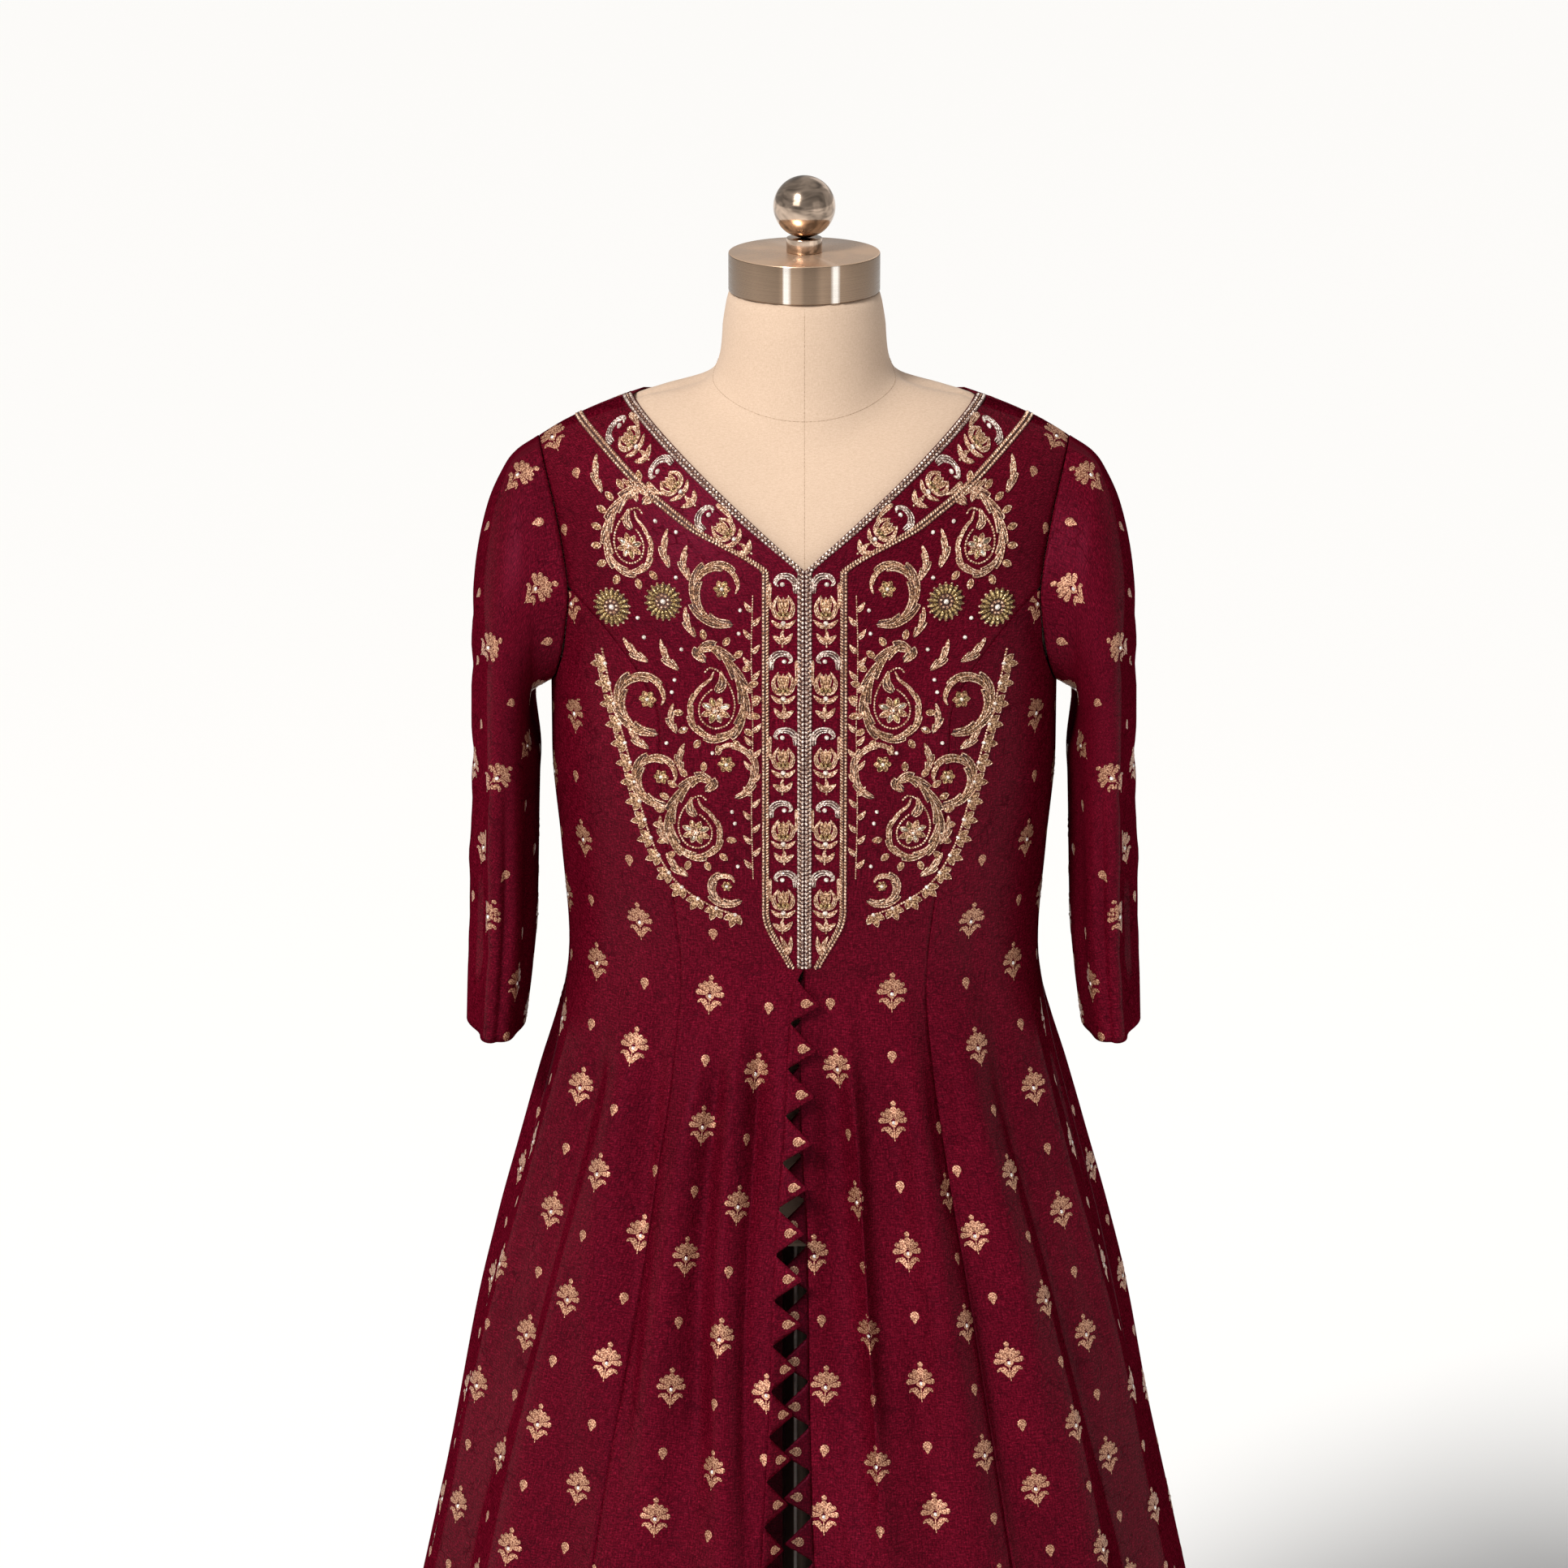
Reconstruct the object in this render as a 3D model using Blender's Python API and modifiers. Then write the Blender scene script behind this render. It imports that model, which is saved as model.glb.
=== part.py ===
"""An anarkali dress on a limbless dress form with a round-based stand.

Metres, +Z up. The front faces -Y and the origin is on the underside of the base. Left and right are the
wearer's, so left is +X. The cloth walls are worked out from one outer surface, which reads an angle
round the body (0 is the front, 90 the wearer's left, 180 the back) and a level, the height that a row of
the cloth has on the middle line. Below the armpit a row is level. Above it, rows climb to the shoulder line.
"""

import math

import bmesh
import bpy
from mathutils import Vector


def table(columns, *rows):
    """Rows of numbers as dictionaries under their column names."""
    return [dict(zip(columns.split(), row)) for row in rows]


# Cloth and seams
CLOTH = 0.0018
SEAM = 0.0003
BRAID_RISE = 0.0022
BRAID_SIDE_SHARE = 0.6
HEM_Z = 0.100

# Heights that the pieces share
ARMPIT_Z = 1.185
WAIST_Z = 0.985
TIP_Z = 0.995
APEX_Z = 1.293
MIDDLE_Y = 0.010
RIDGE_Y = 0.020

# The outer surface of the dress between its folds, one section a row
DRESS_SECTIONS = table(
    "z half_width front_depth back_depth squareness",
    (0.100, 0.345, 0.315, 0.320, 2.05),
    (0.200, 0.330, 0.294, 0.300, 2.05),
    (0.400, 0.294, 0.250, 0.256, 2.10),
    (0.606, 0.256, 0.202, 0.208, 2.15),
    (0.750, 0.226, 0.168, 0.172, 2.20),
    (0.833, 0.205, 0.146, 0.150, 2.25),
    (0.915, 0.185, 0.126, 0.128, 2.30),
    (0.985, 0.175, 0.115, 0.112, 2.30),
    (1.060, 0.180, 0.124, 0.106, 2.35),
    (1.137, 0.186, 0.134, 0.108, 2.35),
    (1.185, 0.186, 0.135, 0.111, 2.35),
)

# The linen body inside it
FORM_SECTIONS = table(
    "z half_width front_depth back_depth squareness",
    (0.775, 0.166, 0.110, 0.110, 2.30),
    (0.850, 0.170, 0.112, 0.116, 2.30),
    (0.920, 0.152, 0.102, 0.104, 2.30),
    (0.985, 0.138, 0.095, 0.090, 2.30),
    (1.050, 0.150, 0.106, 0.092, 2.30),
    (1.120, 0.171, 0.124, 0.100, 2.35),
    (1.185, 0.178, 0.1285, 0.104, 2.35),
)

# The shoulder line, the same on both sides, as the dress's outer surface has it
SHOULDER_LINE = table(
    "x z",
    (0.000, 1.4175),
    (0.063, 1.4130),
    (0.120, 1.3970),
    (0.170, 1.3780),
    (0.200, 1.3600),
)
SHOULDER_SPREAD = 0.075
FORM_CLEARANCE = 0.0008
CHEST_FALL = 2.0
CHEST_ROUND = 0.625
BACK_FALL = 4.0
BACK_ROUND = 0.4545

# Seam lines, as angles round the body
SIDE_SEAM = 90.0
FRONT_SEAM = table(
    "level angle",
    (0.100, 39.0),
    (0.985, 41.0),
    (1.185, 41.5),
    (1.213, 45.0),
    (1.243, 52.0),
    (1.268, 59.5),
    (1.282, 64.6),
)
BACK_SEAM = table(
    "level angle",
    (0.100, 141.0),
    (0.985, 138.0),
    (1.185, 137.0),
    (1.213, 134.0),
    (1.243, 127.0),
    (1.268, 119.0),
    (1.282, 114.0),
)
FRONT_ARMHOLE = table(
    "level angle",
    (1.185, 90.0),
    (1.188, 84.0),
    (1.196, 78.0),
    (1.213, 73.0),
    (1.240, 69.0),
    (1.282, 66.0),
    (1.340, 68.5),
    (1.390, 73.0),
    (1.4175, 76.0),
)
BACK_ARMHOLE = table(
    "level angle",
    (1.185, 90.0),
    (1.188, 96.0),
    (1.196, 102.0),
    (1.213, 107.0),
    (1.240, 110.5),
    (1.282, 112.0),
    (1.340, 109.5),
    (1.390, 104.5),
    (1.4175, 101.5),
)
SIDE_PANEL_TOP = 1.282

# Neck opening, a straight V in front and a shallow scoop behind
NECK_HALF_WIDTH = 0.125
NECK_SIDE_Z = 1.3955
BACK_NECK_Z = 1.372
BACK_NECK_BOW = 2.4

# The slit in front, from its top to the hem: where each panel ends
SLIT = table(
    "level right_edge left_edge left_sunk",
    (0.100, -0.056, 0.030, 0.0160),
    (0.400, -0.040, 0.014, 0.0160),
    (0.606, -0.028, 0.005, 0.0150),
    (0.700, -0.0235, 0.003, 0.0140),
    (0.800, -0.0195, 0.002, 0.0115),
    (0.850, -0.0160, -0.0014, 0.0080),
    (0.900, -0.0130, -0.0034, 0.0050),
    (0.940, -0.0105, -0.0036, 0.0036),
    (0.985, -0.0060, -0.0012, 0.0026),
    (0.995, 0.0000, 0.0000, 0.0026),
)
RIGHT_RAISED = 0.0026
LAP_FADE_START, LAP_FADE_END = 0.020, 0.075
POINT_PITCH, POINT_DEPTH = 0.032, 0.0175
POINT_TIP_SHARE = 0.62
POINT_BAND = 0.003
EDGING_GAP = 0.0008
FIRST_POINT_Z = 0.988
LAST_POINT_Z = 0.104

# Braids beside the neck and down the front: distance of each side from the panel's edge, along a row
BRAID_ACROSS = table(
    "level edge_braid_out border_braid_in border_braid_out",
    (0.995, 0.0054, 0.0062, 0.0116),
    (1.040, 0.0054, 0.0250, 0.0304),
    (1.293, 0.0054, 0.0250, 0.0304),
    (1.325, 0.0080, 0.0390, 0.0470),
    (1.4175, 0.0080, 0.0400, 0.0480),
)

# Folds that open towards the hem: where each stands, how far it rises and reaches there, and its top
FOLDS = table(
    "angle rise half_reach top",
    (13.0, 0.034, 10.5, 0.960),
    (34.0, 0.030, 11.0, 0.900),
    (55.0, 0.036, 10.5, 0.960),
    (77.0, 0.030, 11.5, 0.880),
    (99.0, 0.034, 11.0, 0.940),
    (121.0, 0.031, 11.0, 0.900),
    (143.0, 0.036, 11.0, 0.960),
    (166.0, 0.030, 11.5, 0.900),
    (-171.0, 0.033, 11.5, 0.930),
    (-148.0, 0.035, 11.0, 0.960),
    (-126.0, 0.029, 11.0, 0.890),
    (-103.0, 0.035, 11.5, 0.950),
    (-80.0, 0.031, 11.0, 0.880),
    (-58.0, 0.035, 11.0, 0.950),
    (-36.0, 0.031, 10.5, 0.910),
    (-15.0, 0.033, 10.0, 0.970),
)
FOLD_GROWTH = 1.25

# Rows of the cloth
SKIRT_LEVELS = (
    HEM_Z, 0.180, 0.280, 0.390, 0.500, 0.600, 0.690, 0.770, 0.835, 0.890,
    0.940, WAIST_Z, TIP_Z, 1.040, 1.100, ARMPIT_Z,
)
BODICE_LEVELS = (
    1.188, 1.196, 1.213, 1.243, 1.282, APEX_Z, 1.328, 1.358, 1.382, 1.400, 1.4108, 1.4155, 1.4175,
)
LEVELS = SKIRT_LEVELS + BODICE_LEVELS
RIDGE_LEVEL = LEVELS[-1]

# Columns of each panel
CENTRE_COLUMNS = 9
SIDE_COLUMNS = 10
BACK_COLUMNS = 16
FORM_COLUMNS = 32

# Sleeve, from the armhole to the open end: its outer and inner side, and its half depth
SLEEVE_SECTIONS = table(
    "to_oval outer_x outer_z inner_x inner_z half_depth",
    (0.30, 0.2060, 1.3530, 0.1900, 1.1760, 0.072),
    (0.55, 0.2200, 1.3400, 0.1920, 1.1640, 0.075),
    (0.80, 0.2330, 1.3120, 0.1935, 1.1480, 0.076),
    (1.00, 0.2410, 1.2700, 0.1945, 1.1300, 0.076),
    (1.00, 0.2445, 1.2150, 0.1955, 1.1080, 0.075),
    (1.00, 0.2450, 1.1500, 0.1965, 1.0750, 0.073),
    (1.00, 0.2450, 1.0850, 0.1975, 1.0350, 0.071),
    (1.00, 0.2460, 1.0200, 0.1990, 0.9950, 0.068),
    (1.00, 0.2485, 0.9650, 0.2030, 0.9550, 0.066),
    (1.00, 0.2510, 0.9200, 0.2080, 0.9170, 0.064),
)
SLEEVE_CENTRE_Y = 0.012
SLEEVE_CLEARANCE = 0.0016
SLEEVE_SEAM = 0.0005

# Rosettes of long beads: where they lie on the yoke, on both sides
ROSETTES = table(
    "x z",
    (0.101, 1.2690),
    (0.138, 1.2610),
)
ROSETTE_RADIUS, ROSETTE_RISE = 0.0135, 0.0030
ROSETTE_SPOKES = 14
ROSETTE_GAP = 0.0006
ROSETTE_RINGS = ((0.45, 1.0), (0.85, 0.85), (1.0, 0.35))
CHEST_CURVE = 0.18

# Metal fittings and stand
NECK_PROFILE = table(
    "radius z",
    (0.0550, 1.4717),
    (0.0560, 1.4680),
    (0.0590, 1.4500),
    (0.0615, 1.4260),
    (0.0640, 1.4000),
    (0.0700, 1.3700),
    (0.0600, 1.3200),
)
NECK_Y = 0.020
CAP_RADIUS, CAP_BOTTOM, CAP_TOP = 0.0550, 1.4720, 1.5000
CAP_EDGE = 0.0012
COLLAR_RADIUS, COLLAR_HEIGHT, COLLAR_WAIST = 0.0130, 0.0105, 0.0105
BALL_RADIUS = 0.0225
POLE_RADIUS = 0.016
BASE_RADIUS, BASE_EDGE, BASE_HEIGHT = 0.200, 0.008, 0.022
TURNED_STEPS = 36

# Colours, roughness and metal share
SILK = ((0.115, 0.004, 0.018), 0.55, 0.0)
ZARI = ((0.420, 0.290, 0.150), 0.42, 0.7)
LINEN = ((0.600, 0.450, 0.310), 0.90, 0.0)
STEEL = ((0.520, 0.480, 0.430), 0.28, 1.0)
CHROME = ((0.600, 0.560, 0.510), 0.10, 1.0)


def clear_scene():
    for thing in list(bpy.data.objects):
        bpy.data.objects.remove(thing, do_unlink=True)


def collection(name):
    made = bpy.data.collections.new(name)
    bpy.context.scene.collection.children.link(made)
    return made


def material(name, finish):
    colour, roughness, metallic = finish
    made = bpy.data.materials.new(name)
    made.use_nodes = True
    shader = made.node_tree.nodes["Principled BSDF"]
    shader.inputs["Base Color"].default_value = (*colour, 1.0)
    shader.inputs["Roughness"].default_value = roughness
    shader.inputs["Metallic"].default_value = metallic
    return made


def place(name, mesh, finish, where):
    mesh.materials.append(material(name + "_finish", finish))
    made = bpy.data.objects.new(name, mesh)
    where.objects.link(made)
    return made


# Reading the tables

def slope(keys, values, i):
    """The slope at one row: none at a turning point, and the rows' harmonic mean elsewhere."""
    if i == 0:
        return (values[1] - values[0]) / (keys[1] - keys[0])
    if i == len(keys) - 1:
        return (values[-1] - values[-2]) / (keys[-1] - keys[-2])
    before = (values[i] - values[i - 1]) / (keys[i] - keys[i - 1])
    after = (values[i + 1] - values[i]) / (keys[i + 1] - keys[i])
    return 2 * before * after / (before + after) if before * after > 0 else 0.0


def smooth(rows, by, column, value):
    """A column of a table at a value of its first column, on a smooth curve through the rows."""
    keys = [row[by] for row in rows]
    values = [row[column] for row in rows]
    if value <= keys[0]:
        return values[0]
    if value >= keys[-1]:
        return values[-1]
    i = max(k for k in range(len(keys) - 1) if keys[k] <= value)
    span = keys[i + 1] - keys[i]
    t = (value - keys[i]) / span
    start, end = slope(keys, values, i) * span, slope(keys, values, i + 1) * span
    return (
        values[i] * (1 + 2 * t) * (1 - t) ** 2
        + start * t * (1 - t) ** 2
        + values[i + 1] * t * t * (3 - 2 * t)
        + end * t * t * (t - 1)
    )


# The body's surface

def ridge_z(x):
    return smooth(SHOULDER_LINE, "x", "z", abs(x))


def radius_at(sections, angle, z):
    """How far a horizontal section reaches at an angle, before any folds."""
    across, along = abs(math.sin(math.radians(angle))), math.cos(math.radians(angle))
    depth = "front_depth" if along > 0 else "back_depth"
    power = smooth(sections, "z", "squareness", z)
    share = (across / smooth(sections, "z", "half_width", z)) ** power
    share += (abs(along) / smooth(sections, "z", depth, z)) ** power
    return share ** (-1 / power)


def fold_rise(angle, z):
    """What the skirt's folds add to its radius."""
    rise = 0.0
    for fold in FOLDS:
        away = (angle - fold["angle"] + 180) % 360 - 180
        if abs(away) < fold["half_reach"] and z < fold["top"]:
            grown = ((fold["top"] - z) / (fold["top"] - HEM_Z)) ** FOLD_GROWTH
            rise += fold["rise"] * grown * math.cos(math.pi / 2 * away / fold["half_reach"]) ** 2
    return rise


def body_point(sections, angle, level, folds=True, sunk=0.0):
    """A point of the surface at an angle and level, with its shoulder line sunk by a distance."""
    turn = math.radians(angle)
    if level <= ARMPIT_Z:
        reach = radius_at(sections, angle, level)
        if folds:
            reach += fold_rise(angle, level)
        return Vector((reach * math.sin(turn), MIDDLE_Y - reach * math.cos(turn), level))
    reach = radius_at(sections, angle, ARMPIT_Z)
    climb = min(1.0, (level - ARMPIT_Z) / (RIDGE_LEVEL - ARMPIT_Z))
    in_front = math.cos(turn) > 0
    fall, roundness = (CHEST_FALL, CHEST_ROUND) if in_front else (BACK_FALL, BACK_ROUND)
    fullness = (1 - climb**fall) ** roundness
    x = reach * math.sin(turn) * (1 + SHOULDER_SPREAD * climb)
    y = MIDDLE_Y + (RIDGE_Y - MIDDLE_Y) * climb - reach * math.cos(turn) * fullness
    return Vector((x, y, ARMPIT_Z + climb * (ridge_z(x) - sunk - ARMPIT_Z)))


def dress_point(angle, level):
    return body_point(DRESS_SECTIONS, angle, level)


def dress_normal(angle, level):
    """The outward direction of the dress's surface, straight up along the shoulder line."""
    turn_step, level_step = 0.5, 0.001
    around = dress_point(angle + turn_step, level) - dress_point(angle - turn_step, level)
    if level >= RIDGE_LEVEL:
        return around.cross(Vector((0, 1, 0))).normalized() if around.x > 0 else (
            (-around).cross(Vector((0, 1, 0))).normalized()
        )
    up = dress_point(angle, level + level_step) - dress_point(angle, level - level_step)
    return around.cross(up).normalized()


def turned_by(angle, level, distance):
    """The angle that lies a distance along the row from another angle."""
    step = 0.5
    ahead = math.copysign(step, distance)
    per_degree = (dress_point(angle + ahead, level) - dress_point(angle, level)).length / step
    return angle + distance / per_degree


def solve(high_side, low, high):
    """The place between low and high where high_side turns true."""
    for _ in range(40):
        middle = (low + high) / 2
        if high_side(middle):
            high = middle
        else:
            low = middle
    return (low + high) / 2


def angle_at_x(x, level):
    return solve(lambda angle: dress_point(angle, level).x > x, -89.0, 89.0)


# Where each panel begins and ends

def front_neck_angle(level):
    """The neck edge in front, on the wearer's left: 0 up to the point of the V."""
    if level <= APEX_Z:
        return 0.0

    def outside(angle):
        point = dress_point(angle, level)
        line = APEX_Z + (NECK_SIDE_Z - APEX_Z) * point.x / NECK_HALF_WIDTH
        return line > point.z

    return solve(outside, 0.0, 89.0)


def back_neck_angle(level):
    """The neck edge behind, on the wearer's left: 180 up to the bottom of the scoop."""
    def outside(angle):
        point = dress_point(angle, level)
        share = min(1.0, point.x / NECK_HALF_WIDTH)
        line = BACK_NECK_Z + (NECK_SIDE_Z - BACK_NECK_Z) * share**BACK_NECK_BOW
        return line <= point.z

    if dress_point(180.0, level).z <= BACK_NECK_Z:
        return 180.0
    return solve(outside, 91.0, 180.0)


def front_edge_angle(level, side):
    """Where a centre front panel begins, as an angle on its own side."""
    if level > TIP_Z:
        start = front_neck_angle(level)
    else:
        edge = smooth(SLIT, "level", "left_edge" if side > 0 else "right_edge", level)
        start = angle_at_x(edge * side, level)
    return turned_by(start, level, SEAM / 2)


def armhole_or_seam(level, seam, armhole):
    rows = seam if level <= SIDE_PANEL_TOP else armhole
    return smooth(rows, "level", "angle", level)


# Making meshes

def mesh_of(name, points, faces):
    made = bmesh.new()
    corners = [made.verts.new(point) for point in points]
    for face in faces:
        made.faces.new([corners[i] for i in face])
    mesh = bpy.data.meshes.new(name)
    made.to_mesh(mesh)
    made.free()
    return mesh


def halves(a, b, c, d, flipped):
    """The two triangles of a grid's square, cut the other way on a mirrored grid."""
    return [(a, b, d), (b, c, d)] if flipped else [(a, b, c), (a, c, d)]


def wall(name, outer, normals, finish, where, wrapped=False, flipped=False):
    """A cloth wall between a grid of outer points and the same grid moved in, with its edges closed."""
    rows, columns = len(outer), len(outer[0])
    count = rows * columns
    points = [point for row in outer for point in row]
    points += [
        point - normal * CLOTH
        for row, row_normals in zip(outer, normals)
        for point, normal in zip(row, row_normals)
    ]

    def index(row, column, inner=False):
        return row * columns + column % columns + (count if inner else 0)

    faces = []
    spans = columns if wrapped else columns - 1
    for row in range(rows - 1):
        for column in range(spans):
            a, b = index(row, column), index(row, column + 1)
            c, d = index(row + 1, column + 1), index(row + 1, column)
            outside = halves(a, b, c, d, flipped)
            faces += outside + [tuple(i + count for i in reversed(face)) for face in outside]
    for column in range(spans):
        low, next_low = index(0, column), index(0, column + 1)
        high, next_high = index(rows - 1, column), index(rows - 1, column + 1)
        faces += [(low, low + count, next_low + count), (low, next_low + count, next_low)]
        faces += [(high, next_high, next_high + count), (high, next_high + count, high + count)]
    if not wrapped:
        for row in range(rows - 1):
            near, above = index(row, 0), index(row + 1, 0)
            far, far_above = index(row, columns - 1), index(row + 1, columns - 1)
            faces += [(near, above, above + count), (near, above + count, near + count)]
            faces += [(far, far + count, far_above + count), (far, far_above + count, far_above)]
    mesh = mesh_of(name, points, faces)
    mesh.shade_smooth()
    mesh.set_sharp_from_angle(angle=math.radians(50))
    return place(name, mesh, finish, where)


def turned(name, profile, finish, where, y=0.0, steps=TURNED_STEPS):
    """A turned piece: a profile of (radius, z) from the axis at its top to the axis at its bottom."""
    points = [Vector((radius, 0, z)) for radius, z in profile]
    made = bmesh.new()
    corners = [made.verts.new(point) for point in points]
    for start, end in zip(corners, corners[1:]):
        made.edges.new((start, end))
    mesh = bpy.data.meshes.new(name)
    made.to_mesh(mesh)
    made.free()
    piece = place(name, mesh, finish, where)
    piece.location.y = y
    screw = piece.modifiers.new("Turn", "SCREW")
    screw.steps = screw.render_steps = steps
    screw.use_merge_vertices = True
    screw.merge_threshold = 0.0001
    screw.use_smooth_shade = True
    return piece


# The dress

def panel_grid(levels, start_of, end_of, shares_of):
    """Points and normals of a panel: each row runs from one edge angle to the other by its shares."""
    outer, normals = [], []
    for level in levels:
        start, end = start_of(level), end_of(level)
        angles = shares_of(level, start, end)
        outer.append([dress_point(angle, level) for angle in angles])
        normals.append([dress_normal(angle, level) for angle in angles])
    return outer, normals


def even(columns):
    def shares(level, start, end):
        return [start + (end - start) * i / columns for i in range(columns + 1)]
    return shares


def mirrored(grid):
    """A grid on the other side of the middle, its columns turned round so that it still faces out."""
    return [[Vector((-p.x, p.y, p.z)) for p in reversed(row)] for row in grid]


def apart_at_shoulder(outer, direction):
    """The top row moved off the shoulder line by half a seam."""
    outer[-1] = [point + Vector((0, direction * SEAM / 2, 0)) for point in outer[-1]]


def centre_front_grid(side):
    """The centre front panel on one side: trim columns first, then even ones. Rows run outward."""
    def start_of(level):
        return front_edge_angle(level, side)

    def end_of(level):
        seam = armhole_or_seam(level, FRONT_SEAM, FRONT_ARMHOLE)
        return turned_by(seam, level, -SEAM / 2 if level <= SIDE_PANEL_TOP else 0.0)

    def shares(level, start, end):
        at_level = max(level, TIP_Z + 0.045) if level < TIP_Z else level
        trims = [
            turned_by(start, level, smooth(BRAID_ACROSS, "level", column, at_level))
            for column in ("edge_braid_out", "border_braid_in", "border_braid_out")
        ]
        rest = [trims[-1] + (end - trims[-1]) * i / CENTRE_COLUMNS for i in range(1, CENTRE_COLUMNS + 1)]
        return [start] + trims + rest

    outer, normals = panel_grid(LEVELS, start_of, end_of, shares)
    for level, row, row_normals in zip(LEVELS, outer, normals):
        if level >= TIP_Z:
            continue
        edge = row[0].copy()
        sunk = smooth(SLIT, "level", "left_sunk", level) if side > 0 else -RIGHT_RAISED
        for i, normal in enumerate(row_normals):
            away = (row[i] - edge).length
            fade = (LAP_FADE_END - away) / (LAP_FADE_END - LAP_FADE_START)
            row[i] = row[i] - normal * sunk * max(0.0, min(1.0, fade))
    apart_at_shoulder(outer, -1)
    return outer, normals


def mirrored_pair(grids, side):
    outer, normals = grids
    return (outer, normals) if side > 0 else (mirrored(outer), mirrored(normals))


def side_front_grid():
    def start_of(level):
        return turned_by(smooth(FRONT_SEAM, "level", "angle", level), level, SEAM / 2)

    def end_of(level):
        if level > ARMPIT_Z:
            return smooth(FRONT_ARMHOLE, "level", "angle", level)
        return turned_by(SIDE_SEAM, level, -SEAM / 2)

    levels = [level for level in LEVELS if level <= SIDE_PANEL_TOP]
    return panel_grid(levels, start_of, end_of, even(SIDE_COLUMNS))


def side_back_grid():
    def start_of(level):
        if level > ARMPIT_Z:
            return smooth(BACK_ARMHOLE, "level", "angle", level)
        return turned_by(SIDE_SEAM, level, SEAM / 2)

    def end_of(level):
        return turned_by(smooth(BACK_SEAM, "level", "angle", level), level, -SEAM / 2)

    levels = [level for level in LEVELS if level <= SIDE_PANEL_TOP]
    return panel_grid(levels, start_of, end_of, even(SIDE_COLUMNS))


def half_back_grid():
    """The wearer's left half of the centre back, from its outer edge to the middle or the neck."""
    def start_of(level):
        seam = armhole_or_seam(level, BACK_SEAM, BACK_ARMHOLE)
        return turned_by(seam, level, SEAM / 2 if level <= SIDE_PANEL_TOP else 0.0)

    return panel_grid(LEVELS, start_of, back_neck_angle, even(BACK_COLUMNS // 2))


def back_panel(where):
    """One panel across the back. Above the scoop its two shoulder straps part, so each is its own rows."""
    outer, normals = half_back_grid()
    apart_at_shoulder(outer, 1)
    joined = [row + mirror[1:] for row, mirror in zip(outer, mirrored(outer))]
    joined_normals = [row + mirror[1:] for row, mirror in zip(normals, mirrored(normals))]
    whole = sum(1 for level in LEVELS if back_neck_angle(level) == 180.0)
    piece = strapped_wall("back_center", joined, joined_normals, whole)
    return place("back_center", piece, SILK, where)


def strapped_wall(name, outer, normals, whole):
    """A wall whose rows past the first whole ones are parted at their middle column."""
    columns = len(outer[0])
    middle = columns // 2
    points, index = [], {}

    def corner(row, column, half):
        parted = row >= whole and column == middle
        key = (row, column, half if parted else 0)
        if key not in index:
            index[key] = len(points)
            point, normal = outer[row][column], normals[row][column]
            if parted and half > 0:
                point, normal = mirror_x(point), mirror_x(normal)
            points.extend([point, point - normal * CLOTH])
            index[key] = len(points) - 2
        return index[key]

    faces = []
    for row in range(len(outer) - 1):
        for column in range(columns - 1):
            half = -1 if column < middle else 1
            a, b = corner(row, column, half), corner(row, column + 1, half)
            c, d = corner(row + 1, column + 1, half), corner(row + 1, column, half)
            outside = halves(a, b, c, d, half > 0)
            faces += outside + [tuple(i + 1 for i in reversed(face)) for face in outside]
    faces += edge_faces(faces)
    mesh = mesh_of(name, points, faces)
    mesh.shade_smooth()
    mesh.set_sharp_from_angle(angle=math.radians(50))
    return mesh


def mirror_x(vector):
    return Vector((-vector.x, vector.y, vector.z))


def edge_faces(faces):
    """The strip that closes a wall: outer corners have even numbers and each inner one follows its outer."""
    directed = set()
    for face in faces:
        if face[0] % 2 == 0:
            directed.update(zip(face, face[1:] + face[:1]))
    strip = []
    for start, end in directed:
        if (end, start) not in directed:
            strip += [(end, start, start + 1), (end, start + 1, end + 1)]
    return sorted(strip)


def braid(name, grids, first_column, finish, where):
    """A domed braid over two neighbouring columns of a panel, from the placket's tip to the shoulder."""
    outer, normals = grids
    first_row = LEVELS.index(TIP_Z)
    points, faces = [], []
    for row, row_normals in list(zip(outer, normals))[first_row:]:
        near, far = row[first_column], row[first_column + 1]
        up_near, up_far = row_normals[first_column], row_normals[first_column + 1]
        middle, up = (near + far) / 2, (up_near + up_far).normalized()
        points += [
            near + up_near * SEAM,
            far + up_far * SEAM,
            far + up_far * (SEAM + BRAID_RISE * BRAID_SIDE_SHARE),
            middle + up * (SEAM + BRAID_RISE),
            near + up_near * (SEAM + BRAID_RISE * BRAID_SIDE_SHARE),
        ]
    around = 5
    rows = len(points) // around
    for row in range(rows - 1):
        for k in range(around):
            a, b = row * around + k, row * around + (k + 1) % around
            c, d = b + around, a + around
            faces += [(a, c, b), (a, d, c)]
    last = (rows - 1) * around
    faces += [(0, 1, 2), (0, 2, 4), (2, 3, 4)]
    faces += [(last, last + 2, last + 1), (last, last + 4, last + 2), (last + 2, last + 4, last + 3)]
    mesh = mesh_of(name, points, faces)
    made = bmesh.new()
    made.from_mesh(mesh)
    bmesh.ops.recalc_face_normals(made, faces=made.faces)
    made.to_mesh(mesh)
    made.free()
    return place(name, mesh, finish, where)


def edge_reader(grids, column, inward):
    """A function that reads a panel's slit edge at any height: point, outward side and normal."""
    outer, normals = grids
    rows = [
        (row[column], (row[column] - row[inward]).normalized(), row_normals[column])
        for row, row_normals in zip(outer, normals)
        if row[column].z <= TIP_Z + 0.001
    ]

    def read(z):
        for (low, low_side, low_up), (high, high_side, high_up) in zip(rows, rows[1:]):
            if z <= high.z:
                t = (z - low.z) / (high.z - low.z)
                side = low_side.lerp(high_side, t).normalized()
                return low.lerp(high, t), side, low_up.lerp(high_up, t).normalized()
        return rows[-1]

    return read


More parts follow.
